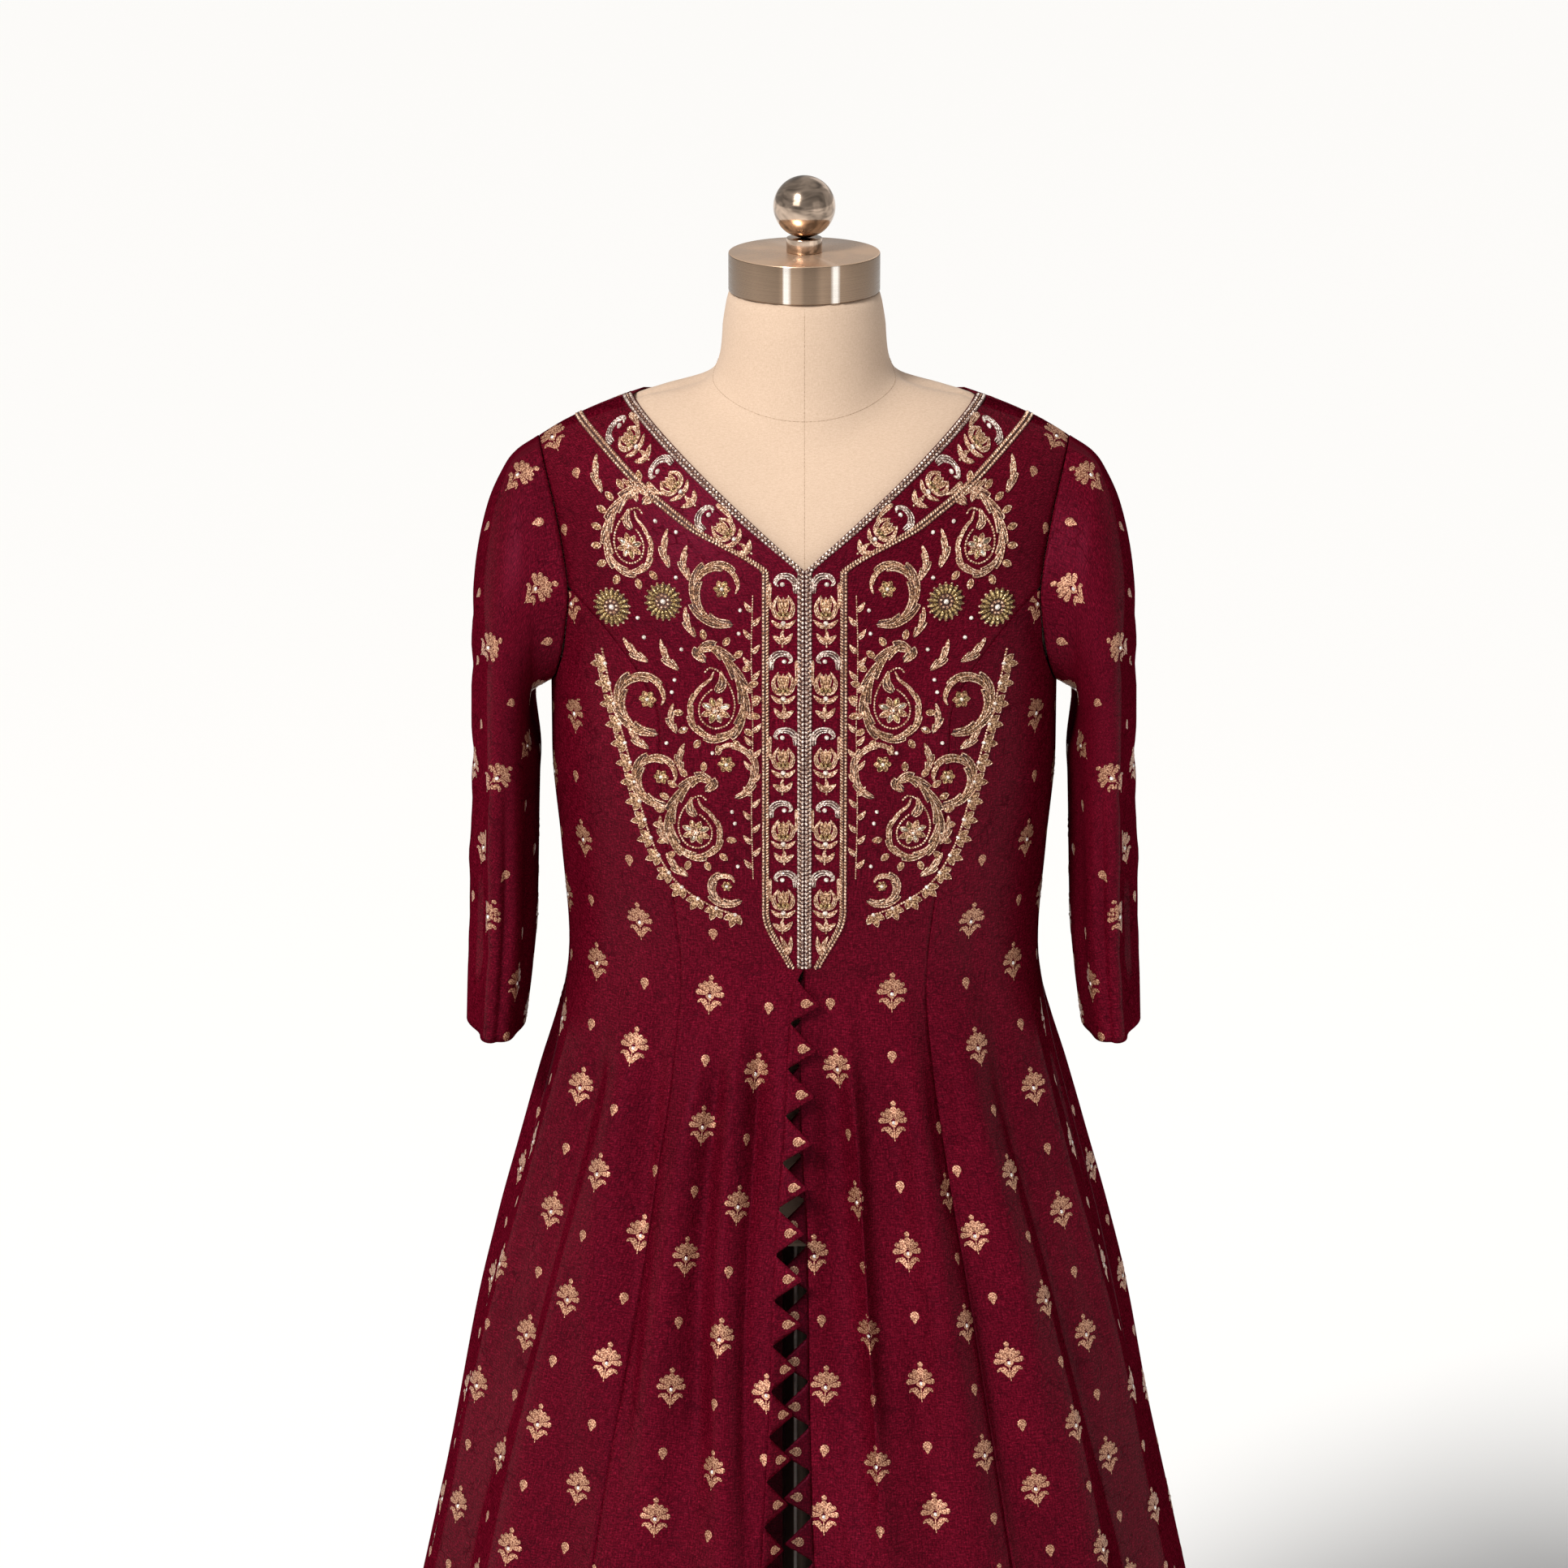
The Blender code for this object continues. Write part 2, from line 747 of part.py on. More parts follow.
def pointed_edging(name, read, finish, where):
    """A strip of folded points along a slit edge: a narrow band, and one triangle for each pitch."""
    count = int((FIRST_POINT_Z - LAST_POINT_Z) / POINT_PITCH)
    pitch = (FIRST_POINT_Z - LAST_POINT_Z) / count
    points, faces = [], []

    def add(z, out):
        edge, side, up = read(z)
        point = edge + side * (EDGING_GAP + out)
        points.extend([point, point - up * CLOTH])
        return len(points) - 2

    base = add(FIRST_POINT_Z, 0.0)
    valley = add(FIRST_POINT_Z, POINT_BAND)
    for i in range(count):
        top = FIRST_POINT_Z - i * pitch
        tip = add(top - pitch * POINT_TIP_SHARE, POINT_BAND + POINT_DEPTH)
        next_base = add(top - pitch, 0.0)
        next_valley = add(top - pitch, POINT_BAND)
        faces += [(tip, valley, base), (tip, base, next_base), (tip, next_base, next_valley)]
        base, valley = next_base, next_valley
    faces += [tuple(i + 1 for i in reversed(face)) for face in list(faces)]
    faces += edge_faces(faces)
    made = bmesh.new()
    mesh = mesh_of(name, points, faces)
    made.from_mesh(mesh)
    bmesh.ops.recalc_face_normals(made, faces=made.faces)
    made.to_mesh(mesh)
    made.free()
    return place(name, mesh, finish, where)


def armhole_loop(centre_front, side_front, side_back, back):
    """The left armhole's edge, from one grid of each panel: down its back from the shoulder, up its front."""
    low = len(SKIRT_LEVELS) - 1
    split = LEVELS.index(SIDE_PANEL_TOP) + 1
    front = [row[-1] for row in side_front[low:split]] + [row[-1] for row in centre_front[split:]]
    behind = [row[0] for row in side_back[low:split]] + [row[0] for row in back[split:]]
    front[0] = (front[0] + behind[0]) / 2
    front[-1] = (front[-1] + behind[-1]) / 2
    return behind[::-1] + front[1:-1]


def sewn_ring(loop, ups, second):
    """The sleeve's first ring: on from the armhole's edge, or beside it where the sleeve folds back."""
    ring = []
    for i, (point, up) in enumerate(zip(loop, ups)):
        up = up.normalized()
        along = (loop[(i + 1) % len(loop)] - loop[i - 1]).normalized()
        onward = along.cross(up).normalized()
        leaving = second[i] - point
        ahead, out = leaving.dot(onward), leaving.dot(up)
        size = math.hypot(ahead, out)
        ahead, out = ahead / size, out / size
        step = onward * (SLEEVE_SEAM * max(0.0, ahead) + CLOTH * max(0.0, -out))
        ring.append(point + step + up * SLEEVE_SEAM * max(0.0, out if ahead > 0 else 1.0))
    return ring


def clear_of_body(point):
    """A sleeve point, moved out where the body's side would touch it."""
    z = min(point.z, ARMPIT_Z)
    half_width = smooth(DRESS_SECTIONS, "z", "half_width", z)
    depth = smooth(DRESS_SECTIONS, "z", "front_depth" if point.y < MIDDLE_Y else "back_depth", z)
    power = smooth(DRESS_SECTIONS, "z", "squareness", z)
    share = min(1.0, abs(point.y - MIDDLE_Y) / depth)
    side = half_width * (1 - share**power) ** (1 / power)
    return Vector((max(point.x, side + SLEEVE_CLEARANCE), point.y, point.z))


def sleeve_grid(loop, ups):
    """Rings from the armhole to the sleeve's end. A ring turns from the armhole's outline to an oval."""
    ring = loop
    middle = Vector([(min(p[i] for p in ring) + max(p[i] for p in ring)) / 2 for i in range(3)])
    lengths = [(b - a).length for a, b in zip(ring, ring[1:] + ring[:1])]
    bottom = max(range(len(ring)), key=lambda i: -ring[i].z)
    down_length, up_length = sum(lengths[:bottom]), sum(lengths[bottom:])
    turns = []
    for i in range(len(ring)):
        if i <= bottom:
            turns.append(math.pi * sum(lengths[:i]) / down_length)
        else:
            turns.append(math.pi * (1 + sum(lengths[bottom:i]) / up_length))
    grid = []
    for row in SLEEVE_SECTIONS:
        outer = Vector((row["outer_x"], SLEEVE_CENTRE_Y, row["outer_z"]))
        inner = Vector((row["inner_x"], SLEEVE_CENTRE_Y, row["inner_z"]))
        centre = (outer + inner) / 2
        share = row["to_oval"]
        made = []
        for point, turn in zip(ring, turns):
            oval = centre + (outer - inner) / 2 * math.cos(turn)
            oval += Vector((0, row["half_depth"] * math.sin(turn), 0))
            made.append(clear_of_body((point + centre - middle).lerp(oval, share)))
        grid.append(made)
    return grid[::-1] + [sewn_ring(loop, ups, grid[0])]


def grid_normals(grid):
    """Outward directions of a tube's grid, worked out from each point's neighbours."""
    normals = []
    for r, row in enumerate(grid):
        above, below = grid[min(r + 1, len(grid) - 1)], grid[max(r - 1, 0)]
        made = []
        for c in range(len(row)):
            around = row[(c + 1) % len(row)] - row[c - 1]
            made.append(around.cross(above[c] - below[c]).normalized())
        normals.append(made)
    return normals


def rosettes(where):
    """Domed discs on the yoke, each laid on the dress's surface."""
    for number, spot in enumerate(ROSETTES, 1):
        for side, word in ((1, "left"), (-1, "right")):
            level = solve(
                lambda h: dress_point(angle_at_x(spot["x"], h), h).z > spot["z"], ARMPIT_Z, RIDGE_LEVEL
            )
            angle = angle_at_x(spot["x"], level)
            centre, up = dress_point(angle, level), dress_normal(angle, level)
            across = up.cross(Vector((0, 0, 1))).normalized()
            along = across.cross(up)
            edge_drop = ROSETTE_RADIUS**2 / (2 * CHEST_CURVE)
            points = [centre + up * ROSETTE_GAP, centre + up * (ROSETTE_GAP + ROSETTE_RISE)]
            for share, height in ROSETTE_RINGS:
                for k in range(ROSETTE_SPOKES):
                    turn = 2 * math.pi * k / ROSETTE_SPOKES
                    out = across * math.cos(turn) + along * math.sin(turn)
                    foot = centre + out * ROSETTE_RADIUS * share - up * edge_drop * share * share
                    points.append(foot + up * ROSETTE_GAP)
                    points.append(foot + up * (ROSETTE_GAP + ROSETTE_RISE * height))
            faces = []
            for k in range(ROSETTE_SPOKES):
                here, after = 2 + 2 * k, 2 + 2 * ((k + 1) % ROSETTE_SPOKES)
                faces += [(0, after, here), (1, here + 1, after + 1)]
                for ring in range(len(ROSETTE_RINGS) - 1):
                    a, b = here + 2 * ROSETTE_SPOKES * ring, after + 2 * ROSETTE_SPOKES * ring
                    c, d = b + 2 * ROSETTE_SPOKES, a + 2 * ROSETTE_SPOKES
                    faces += [(a, b, c), (a, c, d), (a + 1, c + 1, b + 1), (a + 1, d + 1, c + 1)]
                last = 2 * ROSETTE_SPOKES * (len(ROSETTE_RINGS) - 1)
                a, b = here + last, after + last
                faces += [(a, b, b + 1), (a, b + 1, a + 1)]
            if side < 0:
                points = [mirror_x(point) for point in points]
            mesh = mesh_of(f"rosette_{number}_{word}", points, faces)
            made = bmesh.new()
            made.from_mesh(mesh)
            bmesh.ops.recalc_face_normals(made, faces=made.faces)
            made.to_mesh(mesh)
            made.free()
            place(f"rosette_{number}_{word}", mesh, ZARI, where)


def dress(where):
    side_front, side_back = side_front_grid(), side_back_grid()
    half_back = half_back_grid()
    for side, word in ((1, "left"), (-1, "right")):
        centre = centre_front_grid(side)
        grids = mirrored_pair(centre, side)
        flipped = side < 0
        wall("front_center_" + word, *grids, SILK, where, flipped=flipped)
        wall("front_side_" + word, *mirrored_pair(side_front, side), SILK, where, flipped=flipped)
        wall("back_side_" + word, *mirrored_pair(side_back, side), SILK, where, flipped=flipped)
        columns = len(grids[0][0])
        edge, inward = (0, 1) if side > 0 else (columns - 1, columns - 2)
        pointed_edging("slit_points_" + word, edge_reader(grids, edge, inward), SILK, where)
        edge_braid = 0 if side > 0 else columns - 2
        border_braid = 2 if side > 0 else columns - 4
        braid("edge_braid_" + word, grids, edge_braid, ZARI, where)
        braid("border_braid_" + word, grids, border_braid, ZARI, where)
        loop, ups = (
            armhole_loop(*grids) for grids in zip(centre, side_front, side_back, half_back)
        )
        tube = sleeve_grid(loop, ups)
        tube_normals = grid_normals(tube)
        sleeve = mirrored_pair((tube, tube_normals), side)
        wall("sleeve_" + word, *sleeve, SILK, where, wrapped=True, flipped=flipped)
    back_panel(where)
    rosettes(where)


# The dress form and its stand

def form_body(where, tools):
    """The linen torso, lofted over its sections, with the turned neck joined to it."""
    levels = [row["z"] for row in FORM_SECTIONS]
    levels += [level for level in BODICE_LEVELS if level < RIDGE_LEVEL] + [RIDGE_LEVEL - 0.0002]
    half = FORM_COLUMNS // 2
    angles = [-90 + 180 * i / half for i in range(half + 1)]
    angles += [90 + 180 * i / half for i in range(1, half)]
    sunk = CLOTH + FORM_CLEARANCE
    points = [
        body_point(FORM_SECTIONS, angle, level, folds=False, sunk=sunk)
        for level in levels
        for angle in angles
    ]
    faces = []
    for row in range(len(levels) - 1):
        for column in range(FORM_COLUMNS):
            a = row * FORM_COLUMNS + column
            b = row * FORM_COLUMNS + (column + 1) % FORM_COLUMNS
            c, d = b + FORM_COLUMNS, a + FORM_COLUMNS
            faces += [(a, b, c), (a, c, d)]
    for base, upward in ((0, False), ((len(levels) - 1) * FORM_COLUMNS, True)):
        for i in range(half):
            front, front_next = base + i, base + i + 1
            behind = base + (FORM_COLUMNS - i) % FORM_COLUMNS
            behind_next = base + FORM_COLUMNS - i - 1
            face = [front, front_next, behind_next]
            if behind != front:
                face.append(behind)
            if behind_next == front_next:
                face.remove(behind_next)
            face = list(dict.fromkeys(face))
            faces.append(tuple(face if upward else reversed(face)))
    mesh = mesh_of("form_body", points, faces)
    mesh.shade_smooth()
    mesh.set_sharp_from_angle(angle=math.radians(50))
    body = place("form_body", mesh, LINEN, where)
    first, last = NECK_PROFILE[0], NECK_PROFILE[-1]
    profile = [(0.0, first["z"])] + [(row["radius"], row["z"]) for row in NECK_PROFILE] + [(0.0, last["z"])]
    neck = turned("neck_shape", profile, LINEN, tools, y=NECK_Y)
    neck.hide_render = True
    neck.display_type = "WIRE"
    join = body.modifiers.new("Neck", "BOOLEAN")
    join.operation = "UNION"
    join.object = neck


def fittings(where):
    cap = [
        (0.0, CAP_TOP),
        (CAP_RADIUS - CAP_EDGE, CAP_TOP),
        (CAP_RADIUS, CAP_TOP - CAP_EDGE),
        (CAP_RADIUS, CAP_BOTTOM + CAP_EDGE),
        (CAP_RADIUS - CAP_EDGE, CAP_BOTTOM),
        (0.0, CAP_BOTTOM),
    ]
    turned("neck_cap", cap, STEEL, where, y=NECK_Y, steps=48)
    foot = CAP_TOP + SEAM
    head = foot + COLLAR_HEIGHT
    collar = [
        (0.0, head),
        (COLLAR_RADIUS - 0.001, head),
        (COLLAR_RADIUS, head - 0.001),
        (COLLAR_RADIUS, head - 0.0045),
        (COLLAR_WAIST, head - 0.0055),
        (COLLAR_WAIST, foot),
        (0.0, foot),
    ]
    turned("cap_collar", collar, CHROME, where, y=NECK_Y)
    ball_mesh = bpy.data.meshes.new("cap_ball")
    made = bmesh.new()
    bmesh.ops.create_uvsphere(made, u_segments=24, v_segments=14, radius=BALL_RADIUS)
    made.to_mesh(ball_mesh)
    made.free()
    ball_mesh.shade_smooth()
    ball = place("cap_ball", ball_mesh, CHROME, where)
    ball.location = (0.0, NECK_Y, head + SEAM + BALL_RADIUS)


def stand(where):
    base = [
        (0.0, BASE_HEIGHT),
        (POLE_RADIUS * 2.2, BASE_HEIGHT),
        (BASE_RADIUS * 0.55, BASE_HEIGHT - 0.005),
        (BASE_RADIUS - 0.004, BASE_EDGE),
        (BASE_RADIUS, BASE_EDGE - 0.003),
        (BASE_RADIUS, 0.0),
        (0.0, 0.0),
    ]
    turned("stand_base", base, STEEL, where, y=MIDDLE_Y, steps=48)
    foot, head = BASE_HEIGHT + SEAM, FORM_SECTIONS[0]["z"] - SEAM
    mesh = bpy.data.meshes.new("stand_pole")
    made = bmesh.new()
    bmesh.ops.create_cone(
        made, cap_ends=True, segments=32, radius1=POLE_RADIUS, radius2=POLE_RADIUS, depth=head - foot
    )
    made.to_mesh(mesh)
    made.free()
    mesh.shade_smooth()
    mesh.set_sharp_from_angle(angle=math.radians(50))
    pole = place("stand_pole", mesh, STEEL, where)
    pole.location = (0.0, MIDDLE_Y, (foot + head) / 2)


def main():
    clear_scene()
    parts = collection("dress_and_form")
    tools = collection("shape_tools")
    dress(parts)
    form_body(parts, tools)
    fittings(parts)
    stand(parts)


main()
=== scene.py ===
"""Looks of the anarkali dress on its dress form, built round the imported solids.

Metres, +Z up, front towards -Y. Left and right are the wearer's, so left is +X. The cloth shells repeat the
solids' surface, which reads an angle round the body and a level. Below the armpit a row is level.
"""

import math
from collections import Counter

import bmesh
import bpy
import numpy as np
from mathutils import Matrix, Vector
from mathutils.bvhtree import BVHTree


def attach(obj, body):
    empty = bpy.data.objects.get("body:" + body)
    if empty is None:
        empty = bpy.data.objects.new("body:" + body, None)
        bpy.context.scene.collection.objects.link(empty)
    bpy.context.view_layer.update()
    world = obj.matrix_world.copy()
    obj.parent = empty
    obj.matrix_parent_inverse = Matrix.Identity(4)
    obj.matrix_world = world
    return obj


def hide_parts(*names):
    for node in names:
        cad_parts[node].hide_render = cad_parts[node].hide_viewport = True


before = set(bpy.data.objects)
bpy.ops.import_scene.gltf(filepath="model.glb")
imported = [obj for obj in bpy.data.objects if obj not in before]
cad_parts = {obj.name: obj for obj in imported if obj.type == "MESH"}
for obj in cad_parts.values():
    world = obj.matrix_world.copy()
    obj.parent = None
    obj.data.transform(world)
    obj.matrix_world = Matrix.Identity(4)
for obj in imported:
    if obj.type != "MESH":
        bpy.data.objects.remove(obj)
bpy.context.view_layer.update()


def table(columns, *rows):
    """Rows of numbers as dictionaries under their column names."""
    return [dict(zip(columns.split(), row)) for row in rows]


# Sizes that the cloth takes from the solids
HEM_Z, ARMPIT_Z, TIP_Z, APEX_Z = 0.100, 1.185, 0.995, 1.293
MIDDLE_Y, RIDGE_Y = 0.010, 0.020
RIDGE_LEVEL = 1.4175
SIDE_PANEL_TOP = 1.282
SEAM = 0.00006
RIGHT_RAISED, LAP_FADE_START, LAP_FADE_END = 0.0026, 0.020, 0.075
SHOULDER_SPREAD = 0.075
CHEST_FALL, CHEST_ROUND, BACK_FALL, BACK_ROUND = 2.0, 0.625, 4.0, 0.4545
NECK_HALF_WIDTH, NECK_SIDE_Z, BACK_NECK_Z, BACK_NECK_BOW = 0.125, 1.3955, 1.372, 2.4

DRESS_SECTIONS = table(
    "z half_width front_depth back_depth squareness",
    (0.100, 0.345, 0.315, 0.320, 2.05),
    (0.200, 0.330, 0.294, 0.300, 2.05),
    (0.400, 0.294, 0.250, 0.256, 2.10),
    (0.606, 0.256, 0.202, 0.208, 2.15),
    (0.750, 0.226, 0.168, 0.172, 2.20),
    (0.833, 0.205, 0.146, 0.150, 2.25),
    (0.915, 0.185, 0.126, 0.128, 2.30),
    (0.985, 0.175, 0.115, 0.112, 2.30),
    (1.060, 0.180, 0.124, 0.106, 2.35),
    (1.137, 0.186, 0.134, 0.108, 2.35),
    (1.185, 0.186, 0.135, 0.111, 2.35),
)
FORM_SECTIONS = table(
    "z half_width front_depth back_depth squareness",
    (0.775, 0.166, 0.110, 0.110, 2.30),
    (0.850, 0.170, 0.112, 0.116, 2.30),
    (0.920, 0.152, 0.102, 0.104, 2.30),
    (0.985, 0.138, 0.095, 0.090, 2.30),
    (1.050, 0.150, 0.106, 0.092, 2.30),
    (1.120, 0.171, 0.124, 0.100, 2.35),
    (1.185, 0.178, 0.1285, 0.104, 2.35),
)
SHOULDER_LINE = table(
    "x z",
    (0.000, 1.4175),
    (0.063, 1.4130),
    (0.120, 1.3970),
    (0.170, 1.3780),
    (0.200, 1.3600),
)
FRONT_SEAM = table(
    "level angle",
    (0.100, 39.0),
    (0.985, 41.0),
    (1.185, 41.5),
    (1.213, 45.0),
    (1.243, 52.0),
    (1.268, 59.5),
    (1.282, 64.6),
)
BACK_SEAM = table(
    "level angle",
    (0.100, 141.0),
    (0.985, 138.0),
    (1.185, 137.0),
    (1.213, 134.0),
    (1.243, 127.0),
    (1.268, 119.0),
    (1.282, 114.0),
)
FRONT_ARMHOLE = table(
    "level angle",
    (1.185, 90.0),
    (1.188, 84.0),
    (1.196, 78.0),
    (1.213, 73.0),
    (1.240, 69.0),
    (1.282, 66.0),
    (1.340, 68.5),
    (1.390, 73.0),
    (1.4175, 76.0),
)
BACK_ARMHOLE = table(
    "level angle",
    (1.185, 90.0),
    (1.188, 96.0),
    (1.196, 102.0),
    (1.213, 107.0),
    (1.240, 110.5),
    (1.282, 112.0),
    (1.340, 109.5),
    (1.390, 104.5),
    (1.4175, 101.5),
)
SLIT = table(
    "level right_edge left_edge left_sunk",
    (0.100, -0.056, 0.030, 0.0160),
    (0.400, -0.040, 0.014, 0.0160),
    (0.606, -0.028, 0.005, 0.0150),
    (0.700, -0.0235, 0.003, 0.0140),
    (0.800, -0.0195, 0.002, 0.0115),
    (0.850, -0.0160, -0.0014, 0.0080),
    (0.900, -0.0130, -0.0034, 0.0050),
    (0.940, -0.0105, -0.0036, 0.0036),
    (0.985, -0.0060, -0.0012, 0.0026),
    (0.995, 0.0000, 0.0000, 0.0026),
)
BRAID_ACROSS = table(
    "level edge_braid_out border_braid_in border_braid_out",
    (0.995, 0.0054, 0.0062, 0.0116),
    (1.040, 0.0054, 0.0250, 0.0304),
    (1.293, 0.0054, 0.0250, 0.0304),
    (1.325, 0.0080, 0.0390, 0.0470),
    (1.4175, 0.0080, 0.0400, 0.0480),
)
FOLDS = table(
    "angle rise half_reach top",
    (13.0, 0.034, 10.5, 0.960),
    (34.0, 0.030, 11.0, 0.900),
    (55.0, 0.036, 10.5, 0.960),
    (77.0, 0.030, 11.5, 0.880),
    (99.0, 0.034, 11.0, 0.940),
    (121.0, 0.031, 11.0, 0.900),
    (143.0, 0.036, 11.0, 0.960),
    (166.0, 0.030, 11.5, 0.900),
    (-171.0, 0.033, 11.5, 0.930),
    (-148.0, 0.035, 11.0, 0.960),
    (-126.0, 0.029, 11.0, 0.890),
    (-103.0, 0.035, 11.5, 0.950),
    (-80.0, 0.031, 11.0, 0.880),
    (-58.0, 0.035, 11.0, 0.950),
    (-36.0, 0.031, 10.5, 0.910),
    (-15.0, 0.033, 10.0, 0.970),
)
FOLD_GROWTH = 1.25

# Finer creases of the cloth: where each starts and ends, how deep it is and how wide
CREASES = table(
    "top_angle top_level low_angle low_level depth half_width",
    (-16.5, 1.000, -9.5, 0.470, -0.0115, 0.0100),
    (-22.0, 0.990, -14.5, 0.520, 0.0081, 0.0100),
    (-7.5, 0.970, -5.0, 0.480, 0.0057, 0.0080),
    (-29.0, 0.975, -21.5, 0.560, -0.0078, 0.0090),
    (-36.0, 0.960, -28.0, 0.500, 0.0068, 0.0120),
    (-46.0, 0.985, -37.0, 0.540, -0.0084, 0.0110),
    (-53.0, 0.950, -46.0, 0.560, 0.0054, 0.0130),
    (8.5, 0.985, 12.0, 0.480, -0.0095, 0.0095),
    (13.5, 0.965, 17.0, 0.540, 0.0070, 0.0085),
    (19.0, 0.990, 21.5, 0.600, -0.0062, 0.0080),
    (27.0, 0.975, 27.0, 0.520, -0.0081, 0.0105),
    (33.5, 0.955, 34.0, 0.560, 0.0062, 0.0110),
    (42.0, 0.990, 41.0, 0.500, -0.0089, 0.0100),
    (49.0, 0.960, 49.0, 0.590, 0.0057, 0.0115),
    (60.0, 0.995, 62.0, 0.520, -0.0072, 0.0130),
    (-63.0, 0.985, -64.0, 0.540, -0.0070, 0.0130),
    (72.0, 0.970, 75.0, 0.560, 0.0060, 0.0120),
    (-75.0, 0.960, -77.0, 0.520, 0.0058, 0.0130),
    (85.0, 0.985, 88.0, 0.500, -0.0065, 0.0120),
    (-88.0, 0.975, -90.0, 0.560, -0.0067, 0.0120),
    (97.0, 0.960, 99.0, 0.560, 0.0055, 0.0120),
    (-100.0, 0.965, -101.0, 0.520, 0.0058, 0.0130),
    (110.0, 0.985, 108.0, 0.520, -0.0074, 0.0130),
    (-112.0, 0.975, -109.0, 0.560, -0.0067, 0.0120),
    (122.0, 0.955, 121.0, 0.560, 0.0053, 0.0130),
    (-124.0, 0.965, -120.0, 0.540, 0.0055, 0.0120),
    (133.0, 0.975, 136.0, 0.500, -0.0077, 0.0120),
    (-137.0, 0.980, -133.0, 0.540, -0.0072, 0.0120),
    (145.0, 0.960, 148.0, 0.560, 0.0058, 0.0110),
    (155.0, 0.990, 158.0, 0.520, -0.0070, 0.0120),
    (-149.0, 0.960, -146.0, 0.560, 0.0053, 0.0120),
    (-160.0, 0.985, -162.0, 0.520, -0.0072, 0.0120),
    (168.0, 0.965, 169.0, 0.560, 0.0055, 0.0110),
    (178.0, 0.985, 175.0, 0.500, -0.0079, 0.0120),
    (-171.0, 0.960, -173.0, 0.580, 0.0050, 0.0120),
    (-33.0, 1.010, -40.0, 0.860, -0.0026, 0.0080),
    (37.0, 1.005, 45.0, 0.870, -0.0026, 0.0080),
    (52.0, 1.040, 60.0, 0.940, -0.0022, 0.0100),
    (-54.0, 1.045, -62.0, 0.935, -0.0022, 0.0100),
    (70.0, 1.110, 80.0, 0.980, -0.0020, 0.0120),
    (-70.0, 1.100, -81.0, 0.970, -0.0020, 0.0120),
    (125.0, 1.090, 118.0, 0.970, -0.0020, 0.0120),
    (-125.0, 1.095, -119.0, 0.965, -0.0020, 0.0120),
    (170.0, 1.060, 168.0, 0.940, -0.0018, 0.0120),
    (-158.0, 1.070, -161.0, 0.945, -0.0018, 0.0120),
    (62.0, 1.262, 74.0, 1.205, -0.0016, 0.0100),
    (-60.0, 1.258, -73.0, 1.200, -0.0016, 0.0100),
    (118.0, 1.268, 107.0, 1.200, -0.0018, 0.0110),
    (-121.0, 1.262, -108.0, 1.196, -0.0018, 0.0110),
)
CREASE_SWAY, CREASE_WAVES = 1.2, 5.0
CREASE_FADE_IN, CREASE_FADE_OUT = 0.22, 0.40

# Sleeve, from the armhole to the open end
SLEEVE_SECTIONS = table(
    "to_oval outer_x outer_z inner_x inner_z half_depth",
    (0.30, 0.2060, 1.3530, 0.1900, 1.1760, 0.072),
    (0.55, 0.2200, 1.3400, 0.1920, 1.1640, 0.075),
    (0.80, 0.2330, 1.3120, 0.1935, 1.1480, 0.076),
    (1.00, 0.2410, 1.2700, 0.1945, 1.1300, 0.076),
    (1.00, 0.2445, 1.2150, 0.1955, 1.1080, 0.075),
    (1.00, 0.2450, 1.1500, 0.1965, 1.0750, 0.073),
    (1.00, 0.2450, 1.0850, 0.1975, 1.0350, 0.071),
    (1.00, 0.2460, 1.0200, 0.1990, 0.9950, 0.068),
    (1.00, 0.2485, 0.9650, 0.2030, 0.9550, 0.066),
    (1.00, 0.2510, 0.9200, 0.2080, 0.9170, 0.064),
)
SLEEVE_CENTRE_Y = 0.012
SLEEVE_CLEARANCE = 0.0016
SLEEVE_GAP = 0.0006

SKIN = 0.0008
COLUMN_WIDTH = 0.0060
ROW_HEIGHT = 0.0100
BODICE_ROW_HEIGHT = 0.0060
SEAM_DIP, SEAM_REACH = 0.00015, 0.0028
FINER_ROWS_FROM = 1.000
FOLD_ALLOWANCE, LEAST_COLUMNS = 1.18, 8
WELD_REACH = 0.000005

# How finely curves are read and solved
READER_STEPS, SOLVING_ROUNDS, ANGLE_STEP = 700, 40, 0.5
NEARLY_SIDE, PAST_SIDE = 89.0, 91.0


# Reading the tables

def slope(keys, values, i):
    """The slope at one row: none at a turning point, and the rows' harmonic mean elsewhere."""
    if i == 0:
        return (values[1] - values[0]) / (keys[1] - keys[0])
    if i == len(keys) - 1:
        return (values[-1] - values[-2]) / (keys[-1] - keys[-2])
    before = (values[i] - values[i - 1]) / (keys[i] - keys[i - 1])
    after = (values[i + 1] - values[i]) / (keys[i + 1] - keys[i])
    return 2 * before * after / (before + after) if before * after > 0 else 0.0


def smooth(rows, by, column, value):
    """A column of a table at a value of its first column, on a smooth curve through the rows."""
    keys = [row[by] for row in rows]
    values = [row[column] for row in rows]
    if value <= keys[0]:
        return values[0]
    if value >= keys[-1]:
        return values[-1]
    i = max(k for k in range(len(keys) - 1) if keys[k] <= value)
    span = keys[i + 1] - keys[i]
    t = (value - keys[i]) / span
    start, end = slope(keys, values, i) * span, slope(keys, values, i + 1) * span
    return (
        values[i] * (1 + 2 * t) * (1 - t) ** 2
        + start * t * (1 - t) ** 2
        + values[i + 1] * t * t * (3 - 2 * t)
        + end * t * t * (t - 1)
    )


def reader(rows, by, column):
    """A fast form of smooth for arrays."""
    keys = np.linspace(rows[0][by], rows[-1][by], READER_STEPS)
    values = np.array([smooth(rows, by, column, key) for key in keys])
    return lambda wanted: np.interp(wanted, keys, values)


